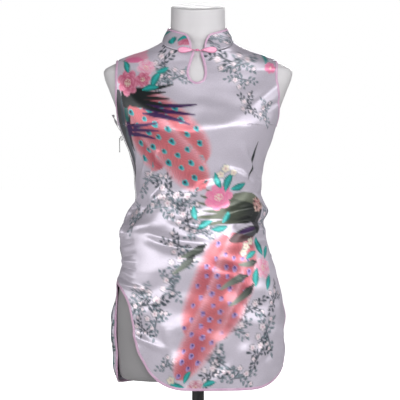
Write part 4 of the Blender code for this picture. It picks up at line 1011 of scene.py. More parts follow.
def front_motifs(cloth):
    """The front's print. Soft plumes fan out from the right armhole and from the left hip; peonies, leaves
    and blades lie at their roots, and plum sprays fill the ground between."""
    for k, spray in enumerate(FRONT_SPRAYS):
        twig, leaf = (DUSK, SLATE) if k % 3 == 0 else (SLATE, MIST)
        cloth.spray(*spray, twig, PETAL, BLUSH, leaf)
    for plume in (
        ([(-156, 790), (-132, 756), (-108, 710), (-76, 664)], 50, 66),
        ([(-156, 806), (-84, 800), (-30, 752), (14, 676)], 50, 66),
        ([(-152, 800), (-110, 766), (-50, 700), (14, 624)], 54, 74),
    ):
        cloth.plume(*plume, *TURQUOISE_EYES)
    for plume in (
        ([(60, 524), (22, 470), (0, 400), (-20, 326)], 48, 48),
        ([(104, 524), (112, 450), (72, 380), (26, 318)], 48, 48),
        ([(84, 530), (66, 440), (24, 340), (-44, 240)], 56, 62),
    ):
        cloth.plume(*plume, *VIOLET_EYES)
    cloth.stroke([(-158, 886), (-132, 894), (-104, 884)], 26, PEONY_RIM, 0.9)
    cloth.stroke([(-156, 880), (-132, 884), (-112, 880)], 12, CANDY, 0.8)
    for places, width, colour in (
        ([(-170, 822), (-178, 760), (-180, 690)], 26, INK),
        ([(-156, 816), (-160, 780), (-170, 748)], 16, SLATE),
        ([(-150, 800), (-158, 764), (-150, 730)], 11, TEAL),
        ([(-160, 748), (-158, 716), (-168, 676)], 18, SLATE),
        ([(-146, 770), (-156, 740), (-148, 700)], 8, INK),
        ([(-176, 700), (-176, 660), (-186, 632)], 13, INK),
    ):
        cloth.stroke(places, width, colour, 0.9, 0.35)
    cloth.blades(-112, 784, -7, 12, 122, 3, 9.0, PURPLE, PURPLE, 20)
    cloth.blades(-156, 808, -3, 18, 112, 5, 10.0, INK, INK, 26)
    cloth.stroke([(-156, 828), (-142, 808), (-156, 788)], 26, INK, 1.0, 0.4)
    cloth.blades(-154, 742, -2, 12, 84, 3, 7.5, PURPLE, PURPLE, 18)
    cloth.stroke([(-156, 756), (-146, 742), (-154, 728)], 16, PURPLE, 1.0, 0.4)
    cloth.stroke([(134, 602), (90, 602), (36, 586)], 34, OLIVE, 0.95, 0.45)
    cloth.blades(136, 568, 172, 22, 156, 6, 14.0, INK, OLIVE, 24)
    cloth.stroke([(138, 594), (130, 566), (134, 534)], 24, INK, 0.9, 0.45)
    cloth.stroke([(134, 540), (100, 532), (66, 518)], 26, INK, 0.9, 0.45)
    cloth.stroke([(124, 543), (100, 539), (84, 532)], 9, PURPLE, 0.9)
    for root, tip, bend, width in (
        ((16, 512), (-34, 486), 0.14, 16),
        ((-6, 492), (-52, 452), 0.1, 14),
        ((104, 448), (44, 420), -0.12, 16),
        ((116, 430), (62, 388), 0.1, 16),
        ((126, 476), (84, 470), 0.1, 13),
    ):
        cloth.blade(root, tip, bend, width, INK, SAGE)
    for x, z, size, turn, rim, middle in (
        (-106, 866, 20, 10, PETAL, CANDY),
        (-144, 836, 27, 80, PEONY_RIM, MAGENTA),
        (-112, 842, 17, 30, PEONY_RIM, MAGENTA),
        (42, 606, 30, 30, PEONY_RIM, CANDY),
        (134, 590, 17, 10, CREAM, MAGENTA),
        (146, 462, 26, 0, PETAL, CANDY),
        (-6, 222, 20, 40, PETAL, MAGENTA),
        (150, 866, 13, 20, PEONY_RIM, CANDY),
    ):
        cloth.peony(x, z, size, turn, rim, middle, CREAM)
    for x, z, length, width, turn, bend in (
        (-84, 842, 38, 15, 60, 3),
        (-96, 824, 36, 14, 10, 2),
        (-150, 868, 30, 13, 120, -2),
        (-72, 862, 28, 12, 20, -2),
        (62, 636, 40, 16, 70, 3),
        (40, 640, 34, 14, 110, 2),
        (84, 628, 36, 15, 20, -2),
        (14, 550, 34, 15, 30, 2),
        (-6, 574, 32, 14, 100, 2),
        (44, 544, 34, 14, 10, -2),
        (56, 566, 28, 12, 60, -2),
        (138, 506, 40, 17, 110, 3),
        (124, 444, 38, 16, 80, 2),
        (156, 432, 34, 14, 60, 2),
        (112, 488, 30, 13, 30, 2),
        (160, 492, 30, 13, 60, 2),
        (-44, 228, 34, 14, 160, 2),
        (-22, 244, 30, 12, 60, 2),
        (22, 230, 30, 12, 20, 2),
        (146, 884, 24, 10, 60, 2),
    ):
        cloth.leaf(x, z, length, width, turn, TEAL, AQUA, bend)
    for x, z, size in (
        (56, 664, 9),
        (72, 656, 7),
        (46, 652, 8),
        (100, 506, 9),
        (112, 516, 8),
        (94, 494, 8),
        (-56, 238, 9),
    ):
        cloth.blossom(x, z, size, 2 * x, CREAM, BLUSH, MIST)
    for seed in ((124, 596), (136, 602), (144, 590), (128, 584), (140, 578), (118, 588)):
        cloth.blossom(*seed, 3.0, 0, INK, INK, INK)
    cloth.stroke([(132, 718), (123, 690), (120, 664), (108, 642)], 6, INK)


def shelled(made, wall):
    """The cloth's thickness: a Solidify outwards."""
    solid = made.modifiers.new("wall", "SOLIDIFY")
    solid.thickness = wall * MM
    solid.offset = 1
    return made


satin = Look(
    "printed_silver_satin",
    uv_map="cloth",
    metallic=0.5,
    roughness=0.46,
    specular_ior_level=1.0,
    anisotropic=0.8,
    coat_weight=0.2,
    coat_roughness=0.22,
)
satin.set("Tangent", satin.node("ShaderNodeTangent", direction_type="UV_MAP", uv_map="cloth").outputs[0])
dyed = satin.node("ShaderNodeMix", data_type="RGBA", blend_type="MULTIPLY")
dyed.inputs["Factor"].default_value = 1.0
dye = satin.node("ShaderNodeAttribute", attribute_name="print").outputs["Color"]
satin.tree.links.new(dye, dyed.inputs["A"])
satin.tree.links.new(satin.ramp(satin.noise(380), (0.25, 0.86), (0.75, 1.0)), dyed.inputs["B"])
satin.set("Base Color", dyed.outputs["Result"])
satin.grain(95, 4, 0.35, 0.5, 0.6)


def satin_piece(name, points, faces, flat, motifs, wall=CLOTH_WALL):
    """A piece of the printed satin: the motifs are drawn on it where it lies flat, and it gets its
    thickness."""
    printed = Print(flat)
    motifs(printed)
    made = mesh_object(name, points, faces, printed.flat * MM, printed.colour)
    satin.on(made)
    return shelled(made, wall)


front = satin_piece("front_satin", *without_strays(front_points, front_quads, front_flat), front_motifs)
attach(front, "dressed_form")
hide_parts("front_panel")

# ---------------------------------------------------------------- the back
# The back is one panel of the same satin without an opening, sewn to the front at the shoulders and the
# sides. Its -X slit edge hangs well back from the front's.

BACK_ROWS = [
    # centre, side
    (917, SHOULDER_POINT),
    (907, 908.5),
    (893, 895),
    (880, SHOULDER_TIP),
    (875, 879),
    (869, 874.5),
    (860, 865),
    (848, 851),
    (842, 843),
    (KEYHOLE_BOTTOM, KEYHOLE_BOTTOM),
    (ARMHOLE_BOTTOM + 0.3, ARMHOLE_BOTTOM + 0.3),
    (ARMHOLE_BOTTOM, ARMHOLE_BOTTOM),
    (SLIT_TOP, SLIT_TOP),
    (HEM, HEM),
]
back_rows = finer(BACK_ROWS)
back_halves = []
for side, edges, corner in ((1, LEFT_EDGES, "back_left"), (-1, RIGHT_EDGES, "back_right")):
    middle_line = np.full(back_rows.shape[1], side * 180.0)
    back_halves.append(half_grid(back_rows, edges, 2, side, CORNER_POWERS[corner], middle_line))
back_angles, back_heights = (
    np.concatenate([of_left[:, ::-1], of_right[:, 1:]], axis=1) for of_left, of_right in zip(*back_halves)
)
back_grid = cloth_point(back_angles, back_heights)
back_sheet = surface(back_grid)
back_flat = flat_places(back_grid)
back_flat[..., 0] -= back_flat[:, PANEL_COLUMNS - 1, 0][:, None]


def back_motifs(cloth):
    """The back's print: the same motifs as the front's, in another order."""
    for x, z, turn, size in (
        (70, 872, 110, 34),
        (-30, 850, 30, 34),
        (-104, 800, 80, 32),
        (40, 760, 150, 34),
        (112, 700, 70, 30),
        (-84, 640, 20, 34),
        (10, 600, 100, 34),
        (96, 560, 40, 34),
        (-40, 500, 130, 34),
        (-130, 470, 60, 32),
        (60, 440, 20, 34),
        (-70, 380, 90, 34),
        (130, 390, 120, 34),
        (10, 320, 50, 34),
        (-120, 300, 20, 34),
        (90, 270, 150, 32),
        (-40, 250, 80, 30),
        (160, 280, 70, 30),
    ):
        cloth.spray(x, z, turn, size, SLATE, PETAL, BLUSH, MIST)
    cloth.stroke([(216, 424), (272, 400), (286, 330), (276, 280), (250, 232)], 13, SLATE, 0.9, 0.3)
    for spray in ((266, 380, 80, 20), (278, 336, 100, 22), (276, 292, 70, 22), (262, 256, 100, 20)):
        cloth.spray(*spray, INK, PETAL, BLUSH, TEAL)
    cloth.leaf(268, 268, 30, 13, 70, TEAL, AQUA)
    for plume in (
        ([(132, 800), (116, 740), (76, 690), (52, 640)], 60, 66),
        ([(120, 808), (66, 790), (12, 742), (-28, 690)], 56, 70),
        ([(126, 804), (84, 752), (34, 704), (4, 628)], 60, 74),
    ):
        cloth.plume(*plume, *TURQUOISE_EYES)
    for plume in (
        ([(-110, 520), (-84, 450), (-24, 390), (10, 320)], 54, 54),
        ([(-96, 524), (-34, 480), (30, 430), (58, 370)], 54, 54),
        ([(-100, 520), (-44, 440), (24, 370), (64, 256)], 58, 64),
    ):
        cloth.plume(*plume, *VIOLET_EYES)
    cloth.blades(126, 806, 177, 18, 112, 6, 9.5, INK, INK, 26)
    cloth.stroke([(130, 826), (116, 806), (130, 786)], 24, INK, 1.0, 0.4)
    cloth.blades(104, 778, 183, 14, 122, 4, 8.5, PURPLE, PURPLE, 22)
    cloth.stroke([(110, 794), (96, 778), (108, 762)], 18, PURPLE, 1.0, 0.4)
    cloth.blades(-128, 562, 6, 22, 150, 6, 14.0, INK, OLIVE, 24)
    cloth.stroke([(-134, 580), (-124, 562), (-128, 540)], 24, INK, 0.9, 0.45)
    for root, tip, bend, width in (
        ((60, 540), (122, 556), 0.12, 15),
        ((66, 522), (130, 520), 0.1, 14),
        ((-124, 404), (-84, 350), -0.12, 15),
        ((-104, 412), (-50, 372), 0.1, 15),
    ):
        cloth.blade(root, tip, bend, width, INK, SAGE)
    for x, z, size, turn, rim, middle in (
        (112, 846, 27, 10, PEONY_RIM, MAGENTA),
        (-90, 862, 22, 50, PETAL, CANDY),
        (-62, 600, 30, 30, PEONY_RIM, CANDY),
        (120, 470, 24, 0, PETAL, CANDY),
        (-10, 230, 20, 40, PETAL, MAGENTA),
        (20, 560, 20, 60, PEONY_RIM, MAGENTA),
        (-110, 250, 22, 15, PEONY_RIM, CANDY),
    ):
        cloth.peony(x, z, size, turn, rim, middle, CREAM)
    for x, z, length, width, turn, bend in (
        (140, 830, 44, 17, 70, 3),
        (80, 836, 40, 15, -30, 2),
        (-70, 838, 40, 15, 30, 2),
        (-24, 624, 42, 16, 40, 3),
        (-96, 576, 40, 15, 100, 2),
        (140, 500, 44, 17, 70, 3),
        (96, 446, 38, 14, -40, 2),
        (14, 250, 36, 13, 150, 2),
        (-86, 270, 36, 13, 60, -2),
        (46, 574, 36, 13, 20, 2),
    ):
        cloth.leaf(x, z, length, width, turn, TEAL, AQUA, bend)


back = satin_piece("back_satin", back_grid, cells(numbered(back_grid)), back_flat, back_motifs)
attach(back, "dressed_form")
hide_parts("back_panel")

# ---------------------------------------------------------------- the stand collar
# A stiffened band of the same satin round the neck. Its two front ends are rounded and stand a little apart
# above the keyhole.

COLLAR_TOP = [
    # angle, height of the top edge
    (0, 934),
    (30, 937),
    (60, 943),
    (90, 947),
    (135, 951),
    (180, 953),
]
COLLAR_TOP_AT = smooth(COLLAR_TOP, 1)
COLLAR_END = 8.0
COLLAR_ROUND = 24.0
COLLAR_STANDOFF = 3.0
COLLAR_BOW = 1.5
COLLAR_RADIUS = 62.0
COLLAR_FRONT_RADIUS = 60.0
COLLAR_SINK = 0.2
COLLAR_LIFT = 0.15
RADIAN = 57.3  # degrees
COLLAR_WALL = 1.5
BACK_NECK = 917.0

end_turn = math.degrees(COLLAR_END / COLLAR_FRONT_RADIUS)
turns = np.concatenate([end_turn + (41 - end_turn) * np.linspace(0, 1, 34) ** 1.4, np.linspace(43, 180, 50)])
turns = np.concatenate([turns, 360 - turns[-2::-1]])
from_front = np.abs((turns + 180) % 360 - 180)
angle = np.radians(turns)
lift = np.sin(np.radians(np.minimum(from_front, 90))) ** 2
neck = np.where(from_front > 90, BACK_NECK, FRONT_NECK)
foot = cloth_point(angle, neck + (SHOULDER_POINT - neck) * lift)
outwards = unit(foot[:, :2])
foot[:, :2] -= outwards * COLLAR_SINK
foot[:, 2] += COLLAR_LIFT
top_height = COLLAR_TOP_AT(from_front)
x, y = outline(FORM_AT, angle, top_height)
far = np.hypot(x, y)
top = np.stack([x * (far + COLLAR_STANDOFF) / far, y * (far + COLLAR_STANDOFF) / far, top_height], axis=-1)
from_end = np.clip((from_front - end_turn) / RADIAN * COLLAR_RADIUS / COLLAR_ROUND, 0, 1)
rise = 0.2 + 0.8 * np.sqrt(1 - (1 - from_end) ** 2)
share = (rise[None, :] * np.linspace(1, 0, 16)[:, None])[..., None]
collar_grid = foot + (top - foot) * share
collar_grid[..., :2] += outwards * COLLAR_BOW * np.sin(share * math.pi)
collar_band = surface(collar_grid)
collar_flat = flat_places(collar_grid)
collar_flat[..., 0] -= collar_flat[:, -1:, 0] / 2


def collar_motifs(cloth):
    """The collar's print: small sprays all round, with leaves and a peony at its end on the wearer's left."""
    for spray in (
        (-176, 926, 60, 20),
        (-150, 916, 150, 20),
        (-120, 930, 20, 24),
        (90, 932, 70, 24),
        (30, 936, 20, 26),
        (-50, 936, 140, 26),
    ):
        cloth.spray(*spray, SLATE, PETAL, BLUSH, MIST)
    for x, z, length, width, turn, bend in (
        (169, 930, 24, 9, 110, 1),
        (160, 922, 22, 9, 140, 1),
        (176, 938, 20, 8, 75, 1),
        (120, 934, 24, 10, 40, 1),
    ):
        cloth.leaf(x, z, length, width, turn, TEAL, AQUA, bend)
    for peony in ((187, 924, 15, 20), (0, 934, 13, 60), (-86, 934, 12, 10)):
        cloth.peony(*peony, PEONY_RIM, MAGENTA, CREAM)


collar = satin_piece(
    "collar_satin", collar_grid, cells(numbered(collar_grid)), collar_flat, collar_motifs, COLLAR_WALL
)
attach(collar, "dressed_form")
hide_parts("collar")

# ---------------------------------------------------------------- the bindings
# Strips of plain pink satin cut on the bias, folded over every free edge of the dress and sewn down on both
# sides, 3.6 to 5 mm wide with the edge inside the fold.

binding_satin = Look(
    "pink_satin_binding",
    roughness=0.36,
    specular_ior_level=0.55,
    sheen_weight=0.3,
    sheen_roughness=0.35,
    coat_weight=0.15,
    coat_roughness=0.3,
)
binding_satin.mottle(55, (0.3, (0.50, 0.30, 0.44)), (0.75, (0.62, 0.42, 0.56)))
binding_satin.grain(260, 3, 0.3, 0.4)

BINDING_STEP = 1.8
OPEN_END = 14.0  # how far an end that starts flat takes to reach its full fold


def resampled(places, run, values):
    """Rows of values at other places along the run that they belong to."""
    return np.stack([np.interp(places, run, column) for column in values.T], axis=-1)


def even_places(run, step, closed=False):
    """Places at even steps, about that far apart, along a run."""
    return np.linspace(0, run[-1], max(4, round(run[-1] / step)), endpoint=not closed)


def tangents(path, closed):
    """The way along a path at each point, from its neighbours on both sides."""
    if closed:
        return np.roll(path, -1, axis=0) - np.roll(path, 1, axis=0)
    return np.gradient(path, axis=0)


def evenly(line, step, closed):
    """A line's points and normals at even steps along it, lightly smoothed, and how far along each one is."""
    if closed:
        line = [np.concatenate([part, part[:1]]) for part in line]
    run = run_along(line[0])
    keep = np.concatenate([[True], np.diff(run) > 0.02])
    places = even_places(run[keep], step, closed)
    points, normals = (resampled(places, run[keep], part[keep]) for part in line)
    for _ in range(4):
        for part in (points, normals):
            if closed:
                part[:] = (np.roll(part, 1, axis=0) + 2 * part + np.roll(part, -1, axis=0)) / 4
            else:
                part[1:-1] = (part[:-2] + 2 * part[1:-1] + part[2:]) / 4
    return points, unit(normals), places


def folded_binding(node, line, hand, width, wall=CLOTH_WALL, closed=False, open_ends=False):
    """A U-shaped strip swept along a line of an edge's points and normals: its profile goes in over the
    outer face, round the cloth's rim and back under it. hand tells which side of the line the cloth is on.
    At an open end the fold starts flat and narrow."""
    points, normals, run = evenly(line, BINDING_STEP, closed)
    tangent = tangents(points, closed)
    into = unit(hand * np.cross(normals, tangent))
    normals = unit(np.cross(tangent, into) * hand)
    profile = np.array(
        [
            # in from the edge, out from the cloth's inner face
            (width, wall + 0.1),
            (width - 0.3, wall + 0.6),
            (width * 0.6, wall + 0.85),
            (width * 0.3, wall + 0.85),
            (0.5, wall + 0.75),
            (-0.4, wall + 0.45),
            (-0.8, wall / 2),
            (-0.4, -0.35),
            (0.5, -0.6),
            (width * 0.5, -0.65),
            (width - 0.4, -0.5),
            (width, -0.15),
            (width - 0.2, -0.08),
            (0.2, -0.08),
            (-0.15, wall / 2),
            (0.2, wall + 0.06),
            (width - 0.2, wall + 0.06),
        ]
    )
    tight = np.ones(len(points))
    if open_ends:
        for place in (run, run[-1] - run):
            tight *= np.clip(0.15 + place / OPEN_END, 0, 1)
    pucker = 1 + 0.16 * np.sin(run * 2 * math.pi / 8.3 + np.sin(run / 23)) * np.sin(run / 31)
    a = np.where(profile[:, 0] < 0, profile[:, 0] * tight[:, None], profile[:, 0])
    b = profile[:, 1] + np.where(profile[:, 1] > wall + 0.5, 0.35 * (pucker[:, None] - 1) * 3, 0)
    grid = points[:, None] + into[:, None] * a[..., None] + normals[:, None] * b[..., None]
    made = mesh_object(node + "_satin", grid, skin(numbered(grid), closed))
    binding_satin.on(made)
    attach(made, "dressed_form")
    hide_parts(node)
    return made


def edge_line(*stretches):
    """The points and the normals along stretches of edges, each given as (surface, rows, columns)."""
    return [
        np.concatenate([edge[part][rows, columns] for edge, rows, columns in stretches])
        for part in ("points", "normals")
    ]


def rows_between(heights, high, low):
    """The numbers of the rows that end between two heights."""
    return np.flatnonzero((heights <= high + 0.01) & (heights >= low - 0.01))


front_side, back_side = front_rows[1], back_rows[1]
for side, word in ((-1, "right"), (1, "left")):
    down = rows_between(front_side, SHOULDER_TIP, ARMHOLE_BOTTOM)
    up = rows_between(back_side, SHOULDER_TIP - 0.5, ARMHOLE_BOTTOM + 0.5)[::-1]
    front_edge, back_edge = (0, -1) if side < 0 else (-1, 0)
    line = edge_line((front_halves[side], down, front_edge), (back_sheet, up, back_edge))
    folded_binding(f"armhole_binding_{word}", line, -side, 4.8, closed=True)

keyhole = np.flatnonzero(front_rows[0] > KEYHOLE_BOTTOM - 0.1)
line = edge_line((right, keyhole, -1), (left, keyhole[-2::-1], 0))
folded_binding("keyhole_binding", line, -1, 4.6)

slit = rows_between(front_side, SLIT_TOP, 0)
across = np.arange(1, PANEL_COLUMNS)
line = edge_line((right, slit, 0), (right, -1, across), (left, -1, across), (left, slit[-2::-1], -1))
folded_binding("front_hem_binding", line, 1, 5.0, open_ends=True)

slit = rows_between(back_side, SLIT_TOP, 0)
line = edge_line((back_sheet, slit, 0), (back_sheet, -1, slice(1, None)), (back_sheet, slit[-2::-1], -1))
folded_binding("back_hem_binding", line, 1, 5.0, open_ends=True)

line = edge_line(
    (collar_band, slice(None, None, -1), 0),
    (collar_band, 0, slice(1, None)),
    (collar_band, slice(1, None), -1),
)
folded_binding("collar_binding", line, -1, 3.6, COLLAR_WALL)

# ---------------------------------------------------------------- the frog
# Two padded leaves of candy-pink satin with corded rims, sewn to the collar's foot, and the looped cord and
# knot that join them across the opening.

frog_satin = Look(
    "pink_frog_satin",
    roughness=0.4,
    specular_ior_level=0.5,
    sheen_weight=0.3,
    sheen_roughness=0.4,
    coat_weight=0.1,
)
frog_satin.mottle(70, (0.3, (0.82, 0.34, 0.52)), (0.7, (0.90, 0.46, 0.62)))
frog_satin.grain(500, 2, 0.3, 0.3)
cord_satin = Look("deep_pink_cord_satin", roughness=0.42, specular_ior_level=0.5, sheen_weight=0.3)
cord_satin.mottle(300, (0.3, (0.52, 0.14, 0.28)), (0.7, (0.66, 0.22, 0.36)))
cord_satin.grain(700, 2, 0.4, 0.3)

FROG_HEIGHT = 903.0
LEAF_INNER = 10.0
LEAF_LENGTH = 29.0
LEAF_WIDTH = 13.4
NECK_WIDE = 92.0
FROG_LEAST_DEPTH = -49.5
LEAF_PUFF = 3.0
RIM_RADIUS = 0.62
FROG_SHIFT = 1.2


def leaf_rim(turn):
    """The leaf's outline: half width as sin, fuller towards its outer end."""
    along = 0.5 - 0.5 * np.cos(turn)
    return LEAF_INNER + LEAF_LENGTH * along, LEAF_WIDTH / 2 * np.sin(turn) * (0.35 + 0.65 * along) * 1.12


def ground_depth(x):
    """How far forward the collar's foot reaches at that x, where the frog is sewn on."""
    turn = np.arcsin(x / NECK_WIDE)
    cloth = cloth_point(turn, FROG_HEIGHT - 4 + 0 * turn)[..., 1] - COLLAR_WALL
    return np.minimum(cloth, FROG_LEAST_DEPTH) - 1.4


def tube(name, path, radius, look, closed=False, sides=10):
    """A round cord of that radius (one number, or one for each point) along a path."""
    radius = np.broadcast_to(np.asarray(radius, float), len(path))
    tangent = unit(tangents(path, closed))
    side_way = unit(np.cross(tangent, [0.05, -1, 0.02]))
    other = np.cross(tangent, side_way)
    turn = np.linspace(0, 2 * math.pi, sides, endpoint=False)
    ring = side_way[:, None] * np.cos(turn)[:, None] + other[:, None] * np.sin(turn)[:, None]
    grid = path[:, None] + ring * radius[:, None, None]
    made = mesh_object(name, grid, skin(numbered(grid)[:, ::-1], closed))
    look.on(made)
    return made


def leaf_place(side, x, up, depth):
    """A place on one of the two leaves, that far in front of where it is sewn on."""
    return np.stack([side * x - FROG_SHIFT, ground_depth(x) - depth + up * 0.1, FROG_HEIGHT + up], axis=-1)


for side, word in ((-1, "right"), (1, "left")):
    around = np.linspace(0, 2 * math.pi, 48, endpoint=False)
    around, size = np.meshgrid(around, np.cos(np.linspace(0, 1.53, 12)))
    rim_x, rim_up = leaf_rim(around)
    middle = LEAF_INNER + LEAF_LENGTH * 0.6
    up = rim_up * size
    puff = LEAF_PUFF * np.sqrt(1 - size**2) * (1 - 0.22 * np.exp(-((up / 0.9) ** 2)))
    grid = leaf_place(side, middle + (rim_x - middle) * size, up, puff)
    leaf = mesh_object(f"frog_leaf_{word}", grid, skin(numbered(grid)[:, ::side]))
    frog_satin.on(leaf)
    rim_x, rim_up = leaf_rim(np.linspace(0, 2 * math.pi, 60, endpoint=False))
    rim_path = leaf_place(side, rim_x, rim_up, 0.5)
    rim = tube(f"frog_rim_{word}", rim_path, RIM_RADIUS, cord_satin, closed=True, sides=8)
    for piece in (leaf, rim):
        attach(piece, "dressed_form")
        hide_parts(f"frog_{word}")

KNOT_ROUTE = [
    # x, up, radius
    (-12.5, 0.2, 1.0),
    (-10.2, -0.2, 1.1),
    (-7.5, -0.6, 1.1),
    (-5.2, -0.7, 1.4),
    (-3.6, -0.5, 2.3),
    (-1.6, -0.4, 2.7),
    (0.4, -0.7, 2.4),
    (2.2, -1.4, 1.5),
    (5.0, -1.7, 1.1),
    (7.8, -0.9, 1.1),
    (10.2, -0.2, 1.1),
    (12.5, 0.2, 1.0),
]
KNOT_FRONT = -59.4
place = np.linspace(0, len(KNOT_ROUTE) - 1, 60)
route_x, route_up, route_radius = resampled(place, np.arange(len(KNOT_ROUTE)), np.array(KNOT_ROUTE)).T
route_depth = KNOT_FRONT - 0.6 * np.cos(route_x / 12.5 * math.pi / 2)
knot = tube(
    "frog_cord",
    np.stack([route_x, route_depth, FROG_HEIGHT + route_up], axis=-1),
    route_radius * (1 + 0.1 * np.sin(place * 4.2)),
    cord_satin,
    sides=14,
)
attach(knot, "dressed_form")
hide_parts("frog_knot")

# ---------------------------------------------------------------- the side zip
# A grey woven tape with a fine coil of teeth down the wearer's right seam. Its upper end is open and stands
# out crumpled beside the armhole, and a stamped slider with a hanging pull tab sits three fingers' width
# below it.

tape_cloth = Look("grey_zip_tape", roughness=0.8, sheen_weight=0.2)
tape_cloth.mottle(300, (0.3, (0.21, 0.20, 0.22)), (0.7, (0.33, 0.32, 0.34)))
tape_cloth.grain(1500, 1, 0.4, 0.2)
zip_metal = Look("dull_zip_metal", roughness=0.36, metallic=0.85)
zip_metal.mottle(200, (0.3, 0.22), (0.7, 0.34))
zip_metal.grain(900, 2, 0.15, 0.1)

ZIP_FREE_END = [(-174.5, 771), (-168.2, 756), (-163.8, 745)]
ZIP_WIDTH = 6.0
ZIP_FOOT = 470.0
ZIP_STEP = 2.0
TAPE_WALL = 0.5
seam = rows_between(front_side, ARMHOLE_BOTTOM - 10, ZIP_FOOT)
on_cloth = right["points"][seam, 0] * [1, 0, 1] + unit(right["normals"][seam, 0] * [1, 0, 1]) * 2.0
free = np.array([[x, 0, height] for x, height in ZIP_FREE_END], float)
u = np.linspace(0, 1, 12, endpoint=False)[:, None]
line = np.concatenate([free[:1] * (1 - u) + free[1] * u, free[1] * (1 - u) + free[2] * u, on_cloth])
run = even_places(run_along(line), ZIP_STEP)
line = resampled(run, run_along(line), line)
away = np.clip(1 - run / 40, 0, 1)[:, None]
wide = np.linspace(-0.5, 0.5, 9)
crumple = 1.5 * np.sin(run[:, None] / 3.1 + wide * 5) - 1.1 * np.cos(wide * 7) + 0.5 * ZIP_WIDTH * wide
tape_grid = line[:, None] + np.stack(
    [
        away * crumple,
        -wide * ZIP_WIDTH * (1 - 0.3 * away),
        away * 0.8 * np.sin(wide * 9 + run[:, None] / 4),
    ],
    axis=-1,
)
tape = mesh_object("zip_tape_woven", tape_grid, cells(numbered(tape_grid)))
tape_cloth.on(tape)
shelled(tape, TAPE_WALL)
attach(tape, "dressed_form")
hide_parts("zip_tape")

TOOTH_PITCH = 1.6
COIL_WIRE = 0.32
tooth_heights = np.arange(ZIP_FOOT, 735.0, TOOTH_PITCH)
tooth_x = np.interp(tooth_heights, on_cloth[::-1, 2], on_cloth[::-1, 0]) - 0.75
coil_places = np.linspace(0, 1, 6 * len(tooth_heights))
coil_z = np.interp(coil_places, np.linspace(0, 1, len(tooth_heights)), tooth_heights)
coil_x = np.interp(coil_z, tooth_heights, tooth_x)
wind = (coil_z - coil_z[0]) / TOOTH_PITCH * 2 * math.pi
coil_path = np.stack([coil_x - 0.35 * np.cos(wind), 1.5 * np.sin(wind), coil_z], axis=-1)
coil = tube("zip_coil", coil_path, COIL_WIRE, tape_cloth, sides=5)
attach(coil, "dressed_form")

PULL_PIVOT = (-160.6, 722.0)
slider_low, slider_high = (np.array(corner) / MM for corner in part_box("zip_slider"))


def pressed_plate(name, outline_points, thick, look, hole=None, bevel=0.25):
    """A flat plate stamped from an outline in its own XY plane, as thick to both sides, with softened
    edges."""
    curve = bpy.data.curves.new(name, "CURVE")
    curve.dimensions = "2D"
    curve.fill_mode = "BOTH"
    curve.extrude = (thick / 2 - bevel) * MM
    curve.bevel_depth = bevel * MM
    curve.bevel_resolution = 2
    for loop in filter(None, (outline_points, hole)):
        spline = curve.splines.new("POLY")
        spline.points.add(len(loop) - 1)
        for point, (a, b) in zip(spline.points, loop):
            point.co = (a * MM, b * MM, 0, 1)
        spline.use_cyclic_u = True
    drawn = placed_in_scene(name, curve)
    mesh = bpy.data.meshes.new_from_object(drawn.evaluated_get(bpy.context.evaluated_depsgraph_get()))
    bpy.data.objects.remove(drawn)
    made = placed_in_scene(name, mesh)
    look.on(made)
    return made


def placed(made, turn_columns, at):
    """Moves a plate's mesh: its own x, y and z go along the given columns, then to a place in millimetres."""
    mesh = made.data
    points = np.empty(len(mesh.vertices) * 3)
    mesh.vertices.foreach_get("co", points)
    points = points.reshape(-1, 3) @ np.array(turn_columns, float) + np.array(at) * MM
    mesh.vertices.foreach_set("co", points.ravel())
    mesh.update()


SLIDER_PLATE = 1.1
SLIDER_LEAN = -14.0
bulge = np.linspace(0, math.pi, 12)
slider_shape = [(3.4 * math.cos(t) * (1 - 0.12 * math.sin(t)), 1.0 + 3.6 * math.sin(t)) for t in bulge]
slider_shape += [(-2.4, -4.6), (-1.0, -4.2), (1.0, -4.2), (2.4, -4.6)]
middle = (slider_low + slider_high) / 2
c, s = aim(SLIDER_LEAN)
for shift, word in ((-1.3, "outer"), (1.3, "inner")):
    plate = pressed_plate(f"zip_slider_{word}", slider_shape, SLIDER_PLATE, zip_metal)
    placed(plate, [(0, 1, 0), (s, 0, c), (c, 0, -s)], middle + [shift * c, 0, -shift * s])
    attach(plate, "dressed_form")
    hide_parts("zip_slider")

PULL_PLATE = 1.7
pull_shape = [(1.6 * math.cos(t), 1.2 + 1.2 * math.sin(t)) for t in np.linspace(0, math.pi, 9)]
pull_shape += [(-2.0, -3.0), (-1.5, -6.5), (-1.5, -13.5), (-2.15, -19.0), (-2.2, -24.0)]
pull_shape += [(2.2 * math.cos(t), -24.5 + 2.4 * math.sin(t)) for t in np.linspace(math.pi, 2 * math.pi, 10)]
pull_shape += [(2.2, -24.0), (2.15, -19.0), (1.5, -13.5), (1.5, -6.5), (2.0, -3.0)]
hole_turns = np.linspace(0, 2 * math.pi, 16, endpoint=False)
pull_hole = [(0.9 * math.cos(t), -22.6 + 1.5 * math.sin(t)) for t in hole_turns]
tab = pressed_plate("zip_pull_tab", pull_shape, PULL_PLATE, zip_metal, hole=pull_hole, bevel=0.35)
placed(tab, [(0, 1, 0), (0, 0, 1), (1, 0, 0)], (PULL_PIVOT[0], 0, PULL_PIVOT[1]))
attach(tab, "zip_tab")
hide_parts("zip_pull")
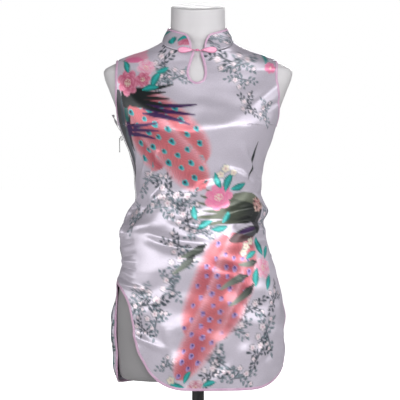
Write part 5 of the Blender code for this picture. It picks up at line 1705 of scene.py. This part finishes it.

# ---------------------------------------------------------------- floor, lights and camera
# A pale floor in a white studio: a soft key light in front, a panel at each side, a top and a rear light.
# The white surround and the floor's whiteness are bright to the eye and dim as light, so that the satin
# keeps its contrast.


def seen_white(tree, dim, bright):
    """A strength that is bright where it is seen directly and dim where it lights or mirrors."""
    path = tree.nodes.new("ShaderNodeLightPath")
    mixed = tree.nodes.new("ShaderNodeMix")
    mixed.inputs["A"].default_value = dim
    mixed.inputs["B"].default_value = bright
    tree.links.new(path.outputs["Is Camera Ray"], mixed.inputs["Factor"])
    return mixed.outputs["Result"]


around = np.radians(np.linspace(0, 360, 96, endpoint=False))
FLOOR_RINGS = np.array([0.0, 200, 400, 800, 2000, 6000, 20000])
floor_x, floor_y = np.outer(FLOOR_RINGS, np.cos(around)), np.outer(FLOOR_RINGS, np.sin(around))
floor_grid = np.stack([floor_x, floor_y, np.zeros_like(floor_x)], axis=-1)
floor = mesh_object("studio_floor", floor_grid, cells(numbered(floor_grid), wrap=True))
paper = Look("white_paper", roughness=0.95)
paper.mottle(3, (0.3, 0.74), (0.7, 0.78))
paper.shader.inputs["Emission Color"].default_value = (1, 1, 1, 1)
paper.set("Emission Strength", seen_white(paper.tree, 0.0, 1.0))
paper.on(floor)

world = bpy.data.worlds.new("studio")
bpy.context.scene.world = world
world.use_nodes = True
backdrop = world.node_tree.nodes["Background"]
backdrop.inputs["Color"].default_value = (1, 1, 1, 1)
world.node_tree.links.new(seen_white(world.node_tree, 0.16, 1.0), backdrop.inputs["Strength"])


def soft_light(name, place, target, size, power):
    """A rectangular area light of that width and height in metres at a place, turned to a target."""
    data = bpy.data.lights.new(name, "AREA")
    data.shape = "RECTANGLE"
    data.size, data.size_y = size
    data.energy = power
    made = placed_in_scene(name, data)
    made.location = place
    way = np.array(target) - np.array(place)
    made.rotation_euler = (
        math.atan2(math.hypot(way[0], way[1]), -way[2]),
        0,
        math.atan2(way[1], way[0]) - math.pi / 2,
    )


soft_light("key", (1.2, -3.0, 1.35), (0, 0, 0.7), (2.2, 0.7), 56)
soft_light("left_panel", (-2.1, -1.7, 0.9), (0, 0, 0.6), (2.6, 0.9), 29)
soft_light("right_panel", (2.4, -0.9, 0.95), (0, 0, 0.6), (1.6, 0.9), 9)
soft_light("top", (0.8, -0.8, 2.7), (0, 0, 0.7), (1.0, 1.0), 17)
soft_light("rear", (0.5, 3.4, 1.6), (0, 0, 0.6), (1.6, 0.8), 48)

bpy.context.scene.view_settings.view_transform = "Standard"

CAMERA_FAR = 5.0
AIM = (0.004, 0.0, 0.597)
ELEVATION = math.radians(2.0)
FRAME_WIDTH = 0.82
camera_data = bpy.data.cameras.new("camera")
camera_data.sensor_fit = "HORIZONTAL"
camera_data.angle = 2 * math.atan(FRAME_WIDTH / 2 / CAMERA_FAR)
camera = placed_in_scene("camera", camera_data)
camera.location = (AIM[0], -CAMERA_FAR * math.cos(ELEVATION), AIM[2] + CAMERA_FAR * math.sin(ELEVATION))
camera.rotation_euler = (math.pi / 2 - ELEVATION, 0, 0)
bpy.context.scene.camera = camera
